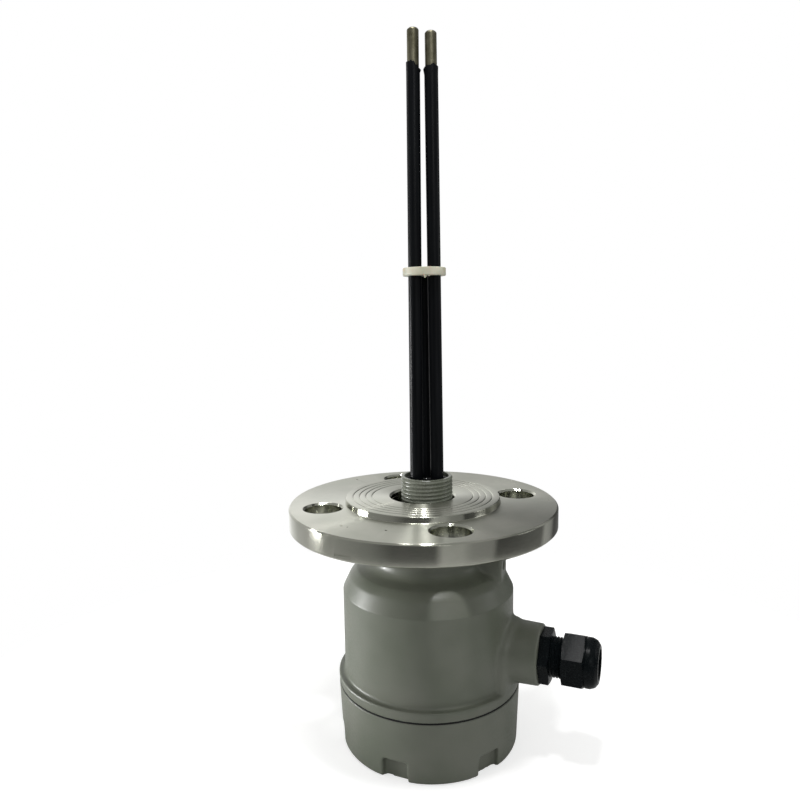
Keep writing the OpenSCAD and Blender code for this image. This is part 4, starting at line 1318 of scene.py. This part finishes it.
def floor_finish():
    """Diffuse with a glow for the camera, and clear from below and to rays shorter than two gaps."""
    pale = bpy.data.materials.new("floor_white")
    pale.use_nodes = True
    pale.node_tree.nodes.clear()
    path = add(pale, "ShaderNodeLightPath")
    side = add(pale, "ShaderNodeNewGeometry")
    lift = add(pale, "ShaderNodeMath", operation="MULTIPLY")
    near = add(pale, "ShaderNodeMath", operation="LESS_THAN")
    lift.inputs[1].default_value, near.inputs[1].default_value = FLOOR_LIFT, 2 * FLOOR_GAP
    through = add(pale, "ShaderNodeMath", operation="MAXIMUM")
    soft = add(pale, "ShaderNodeBsdfDiffuse", Color=(0.6, 0.6, 0.6, 1))
    glow = add(pale, "ShaderNodeEmission", Color=(1, 1, 1, 1))
    both = add(pale, "ShaderNodeAddShader")
    clear = add(pale, "ShaderNodeBsdfTransparent")
    mixed = add(pale, "ShaderNodeMixShader")
    out = add(pale, "ShaderNodeOutputMaterial")
    for source, target in (
            (path.outputs["Is Camera Ray"], lift.inputs[0]), (lift.outputs[0], glow.inputs["Strength"]),
            (soft.outputs[0], both.inputs[0]), (glow.outputs[0], both.inputs[1]),
            (path.outputs["Ray Length"], near.inputs[0]), (near.outputs[0], through.inputs[0]),
            (side.outputs["Backfacing"], through.inputs[1]), (through.outputs[0], mixed.inputs[0]),
            (both.outputs[0], mixed.inputs[1]), (clear.outputs[0], mixed.inputs[2]),
            (mixed.outputs[0], out.inputs["Surface"])):
        wire(pale, source, target)
    return pale


deselect()
bpy.ops.mesh.primitive_circle_add(vertices=96, radius=0.3, fill_type="NGON", location=(0, 0, -FLOOR_GAP))
floor = bpy.context.object
floor.name = "floor"
floor.data.materials.append(floor_finish())
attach(floor, "cover")
print("floor:", [round(side, 2) for side in floor.dimensions])


# %% [markdown]
# Round the part stands a ring of lighter and darker walls, which only shiny surfaces mirror. They put
# the bright and the dark stretches on the flange's rim where the photograph has them. The camera sees
# plain white instead, and an even and rather dim light reaches everything from all sides.

# %% World
# Direction about Z in degrees, and the wall's brightness there
WALLS = [(-180, 0.5), (-155, 0.38), (-113, 0.24), (-93, 0.1), (-60, 0.1), (-53, 0.42), (-38, 0.42),
         (-29, 0.28), (-12, 0.25), (-7, 0.07), (10, 0.09), (44, 0.14), (50, 0.4), (61, 0.3),
         (69, 0.08), (80, 0.1), (97, 0.22), (107, 0.7), (117, 1.15), (135, 1.1), (162, 0.58),
         (180, 0.5)]


def wall_ring(world):
    """The brightness of the room in each direction: the walls, and an even ceiling above them."""
    where = add(world, "ShaderNodeTexCoord")
    parts = add(world, "ShaderNodeSeparateXYZ")
    turn = add(world, "ShaderNodeMath", operation="ARCTAN2")
    share = add(world, "ShaderNodeMapRange", From_Min=-math.pi, From_Max=math.pi)
    walls = add(world, "ShaderNodeValToRGB")
    stops = walls.color_ramp.elements
    stops.remove(stops[-1])
    for k, (direction, level) in enumerate(WALLS):
        stop = stops[0] if k == 0 else stops.new((direction + 180) / 360)
        stop.position = (direction + 180) / 360
        stop.color = (level, level, level, 1)
    high = add(world, "ShaderNodeMapRange", interpolation_type="SMOOTHSTEP", From_Min=0.45, From_Max=0.9)
    room = add(world, "ShaderNodeMix", data_type="FLOAT")
    room.inputs[3].default_value = 0.38
    for source, target in (
            (where.outputs["Generated"], parts.inputs[0]), (parts.outputs["Y"], turn.inputs[0]),
            (parts.outputs["X"], turn.inputs[1]), (turn.outputs[0], share.inputs["Value"]),
            (share.outputs["Result"], walls.inputs["Fac"]), (parts.outputs["Z"], high.inputs["Value"]),
            (high.outputs["Result"], room.inputs[0]), (walls.outputs["Color"], room.inputs[2])):
        wire(world, source, target)
    return room.outputs[0]


def studio_world():
    world = bpy.data.worlds.new("studio")
    bpy.context.scene.world = world
    world.use_nodes = True
    world.node_tree.nodes.clear()
    path = add(world, "ShaderNodeLightPath")
    mirror = add(world, "ShaderNodeMath", operation="MAXIMUM")
    ambient = add(world, "ShaderNodeBackground", Color=(1.0, 1.0, 0.98, 1), Strength=0.56)
    mirrored = add(world, "ShaderNodeBackground", Color=(1, 1, 1, 1))
    seen = add(world, "ShaderNodeBackground", Color=(1, 1, 1, 1), Strength=1.0)
    first, second = add(world, "ShaderNodeMixShader"), add(world, "ShaderNodeMixShader")
    out = add(world, "ShaderNodeOutputWorld")
    for source, target in (
            (path.outputs["Is Glossy Ray"], mirror.inputs[0]),
            (path.outputs["Is Transmission Ray"], mirror.inputs[1]),
            (wall_ring(world), mirrored.inputs["Strength"]), (mirror.outputs[0], first.inputs[0]),
            (ambient.outputs[0], first.inputs[1]), (mirrored.outputs[0], first.inputs[2]),
            (path.outputs["Is Camera Ray"], second.inputs[0]), (first.outputs[0], second.inputs[1]),
            (seen.outputs[0], second.inputs[2]), (second.outputs[0], out.inputs["Surface"])):
        wire(world, source, target)
    world.cycles.sampling_method = "NONE"


studio_world()
print("walls:", len(WALLS), "stops, brightest", max(level for _, level in WALLS))


# %% [markdown]
# A broad lamp low on the left lights the round body from one side, so that it darkens to the right.
# Two more fill it in from the front and the right, and three small ones make the highlights on the
# shoulder and the flange.

# %% Lamps
def lamp(name, spot, aim, size, power):
    """A round area lamp at a spot in metres, turned to what it lights. Power in watts."""
    deselect()
    bpy.ops.object.light_add(type="AREA", location=spot)
    light = bpy.context.object
    light.name = name
    light.data.shape = "DISK"
    light.data.size = size
    light.data.energy = power
    light.rotation_euler = (Vector(aim) - Vector(spot)).to_track_quat("-Z", "Y").to_euler()
    return light


low_left = lamp("low_left", (-0.92, -0.28, 0.04), (0, 0, 0.03), 0.4, 0.5)
low_left.data.spread = math.radians(26)
lamp("softbox_front", (0.66, -0.95, 0.65), (0, 0, 0.12), 0.35, 0.95)
lamp("softbox_right", (0.95, 0.35, 0.4), (0, 0, 0.12), 0.4, 0.8)
lamp("glint", (-0.82, -0.02, 0.62), (0, 0, 0.08), 0.09, 0.2)
lamp("top_left", (-0.05, -0.12, 0.75), (0, 0, 0.12), 0.06, 0.5)
lamp("top_right", (0.08, -0.16, 0.75), (0, 0, 0.12), 0.06, 1.9)
print("lamps:", len(bpy.data.lights))


# %% [markdown]
# The camera was found by matching the ellipses and edges of the photograph. It stands a little to
# the right of the front and looks slightly down.

# %% Camera
# Degrees: how far it stands to the right, looks down and leans over
heading, dip, roll = 22.8, 6.947, -0.947
deselect()
bpy.ops.object.camera_add(location=(0.12357, -0.32847, 0.22491))
camera = bpy.context.object
camera.name = "photo_camera"
camera.data.lens, camera.data.sensor_width = 30.647, 36.0
camera.data.clip_start = 0.01
camera.rotation_euler = (turned(heading, "Z") @ turned(90 - dip, "X") @ turned(roll, "Z")).to_euler()
bpy.context.scene.camera = camera
bpy.context.scene.view_settings.view_transform = "Standard"
print("camera:", [round(v, 3) for v in camera.location], "lens", round(camera.data.lens, 2))


# %% [markdown]
# Last, nothing is left selected.

# %% Leaving nothing selected
deselect()
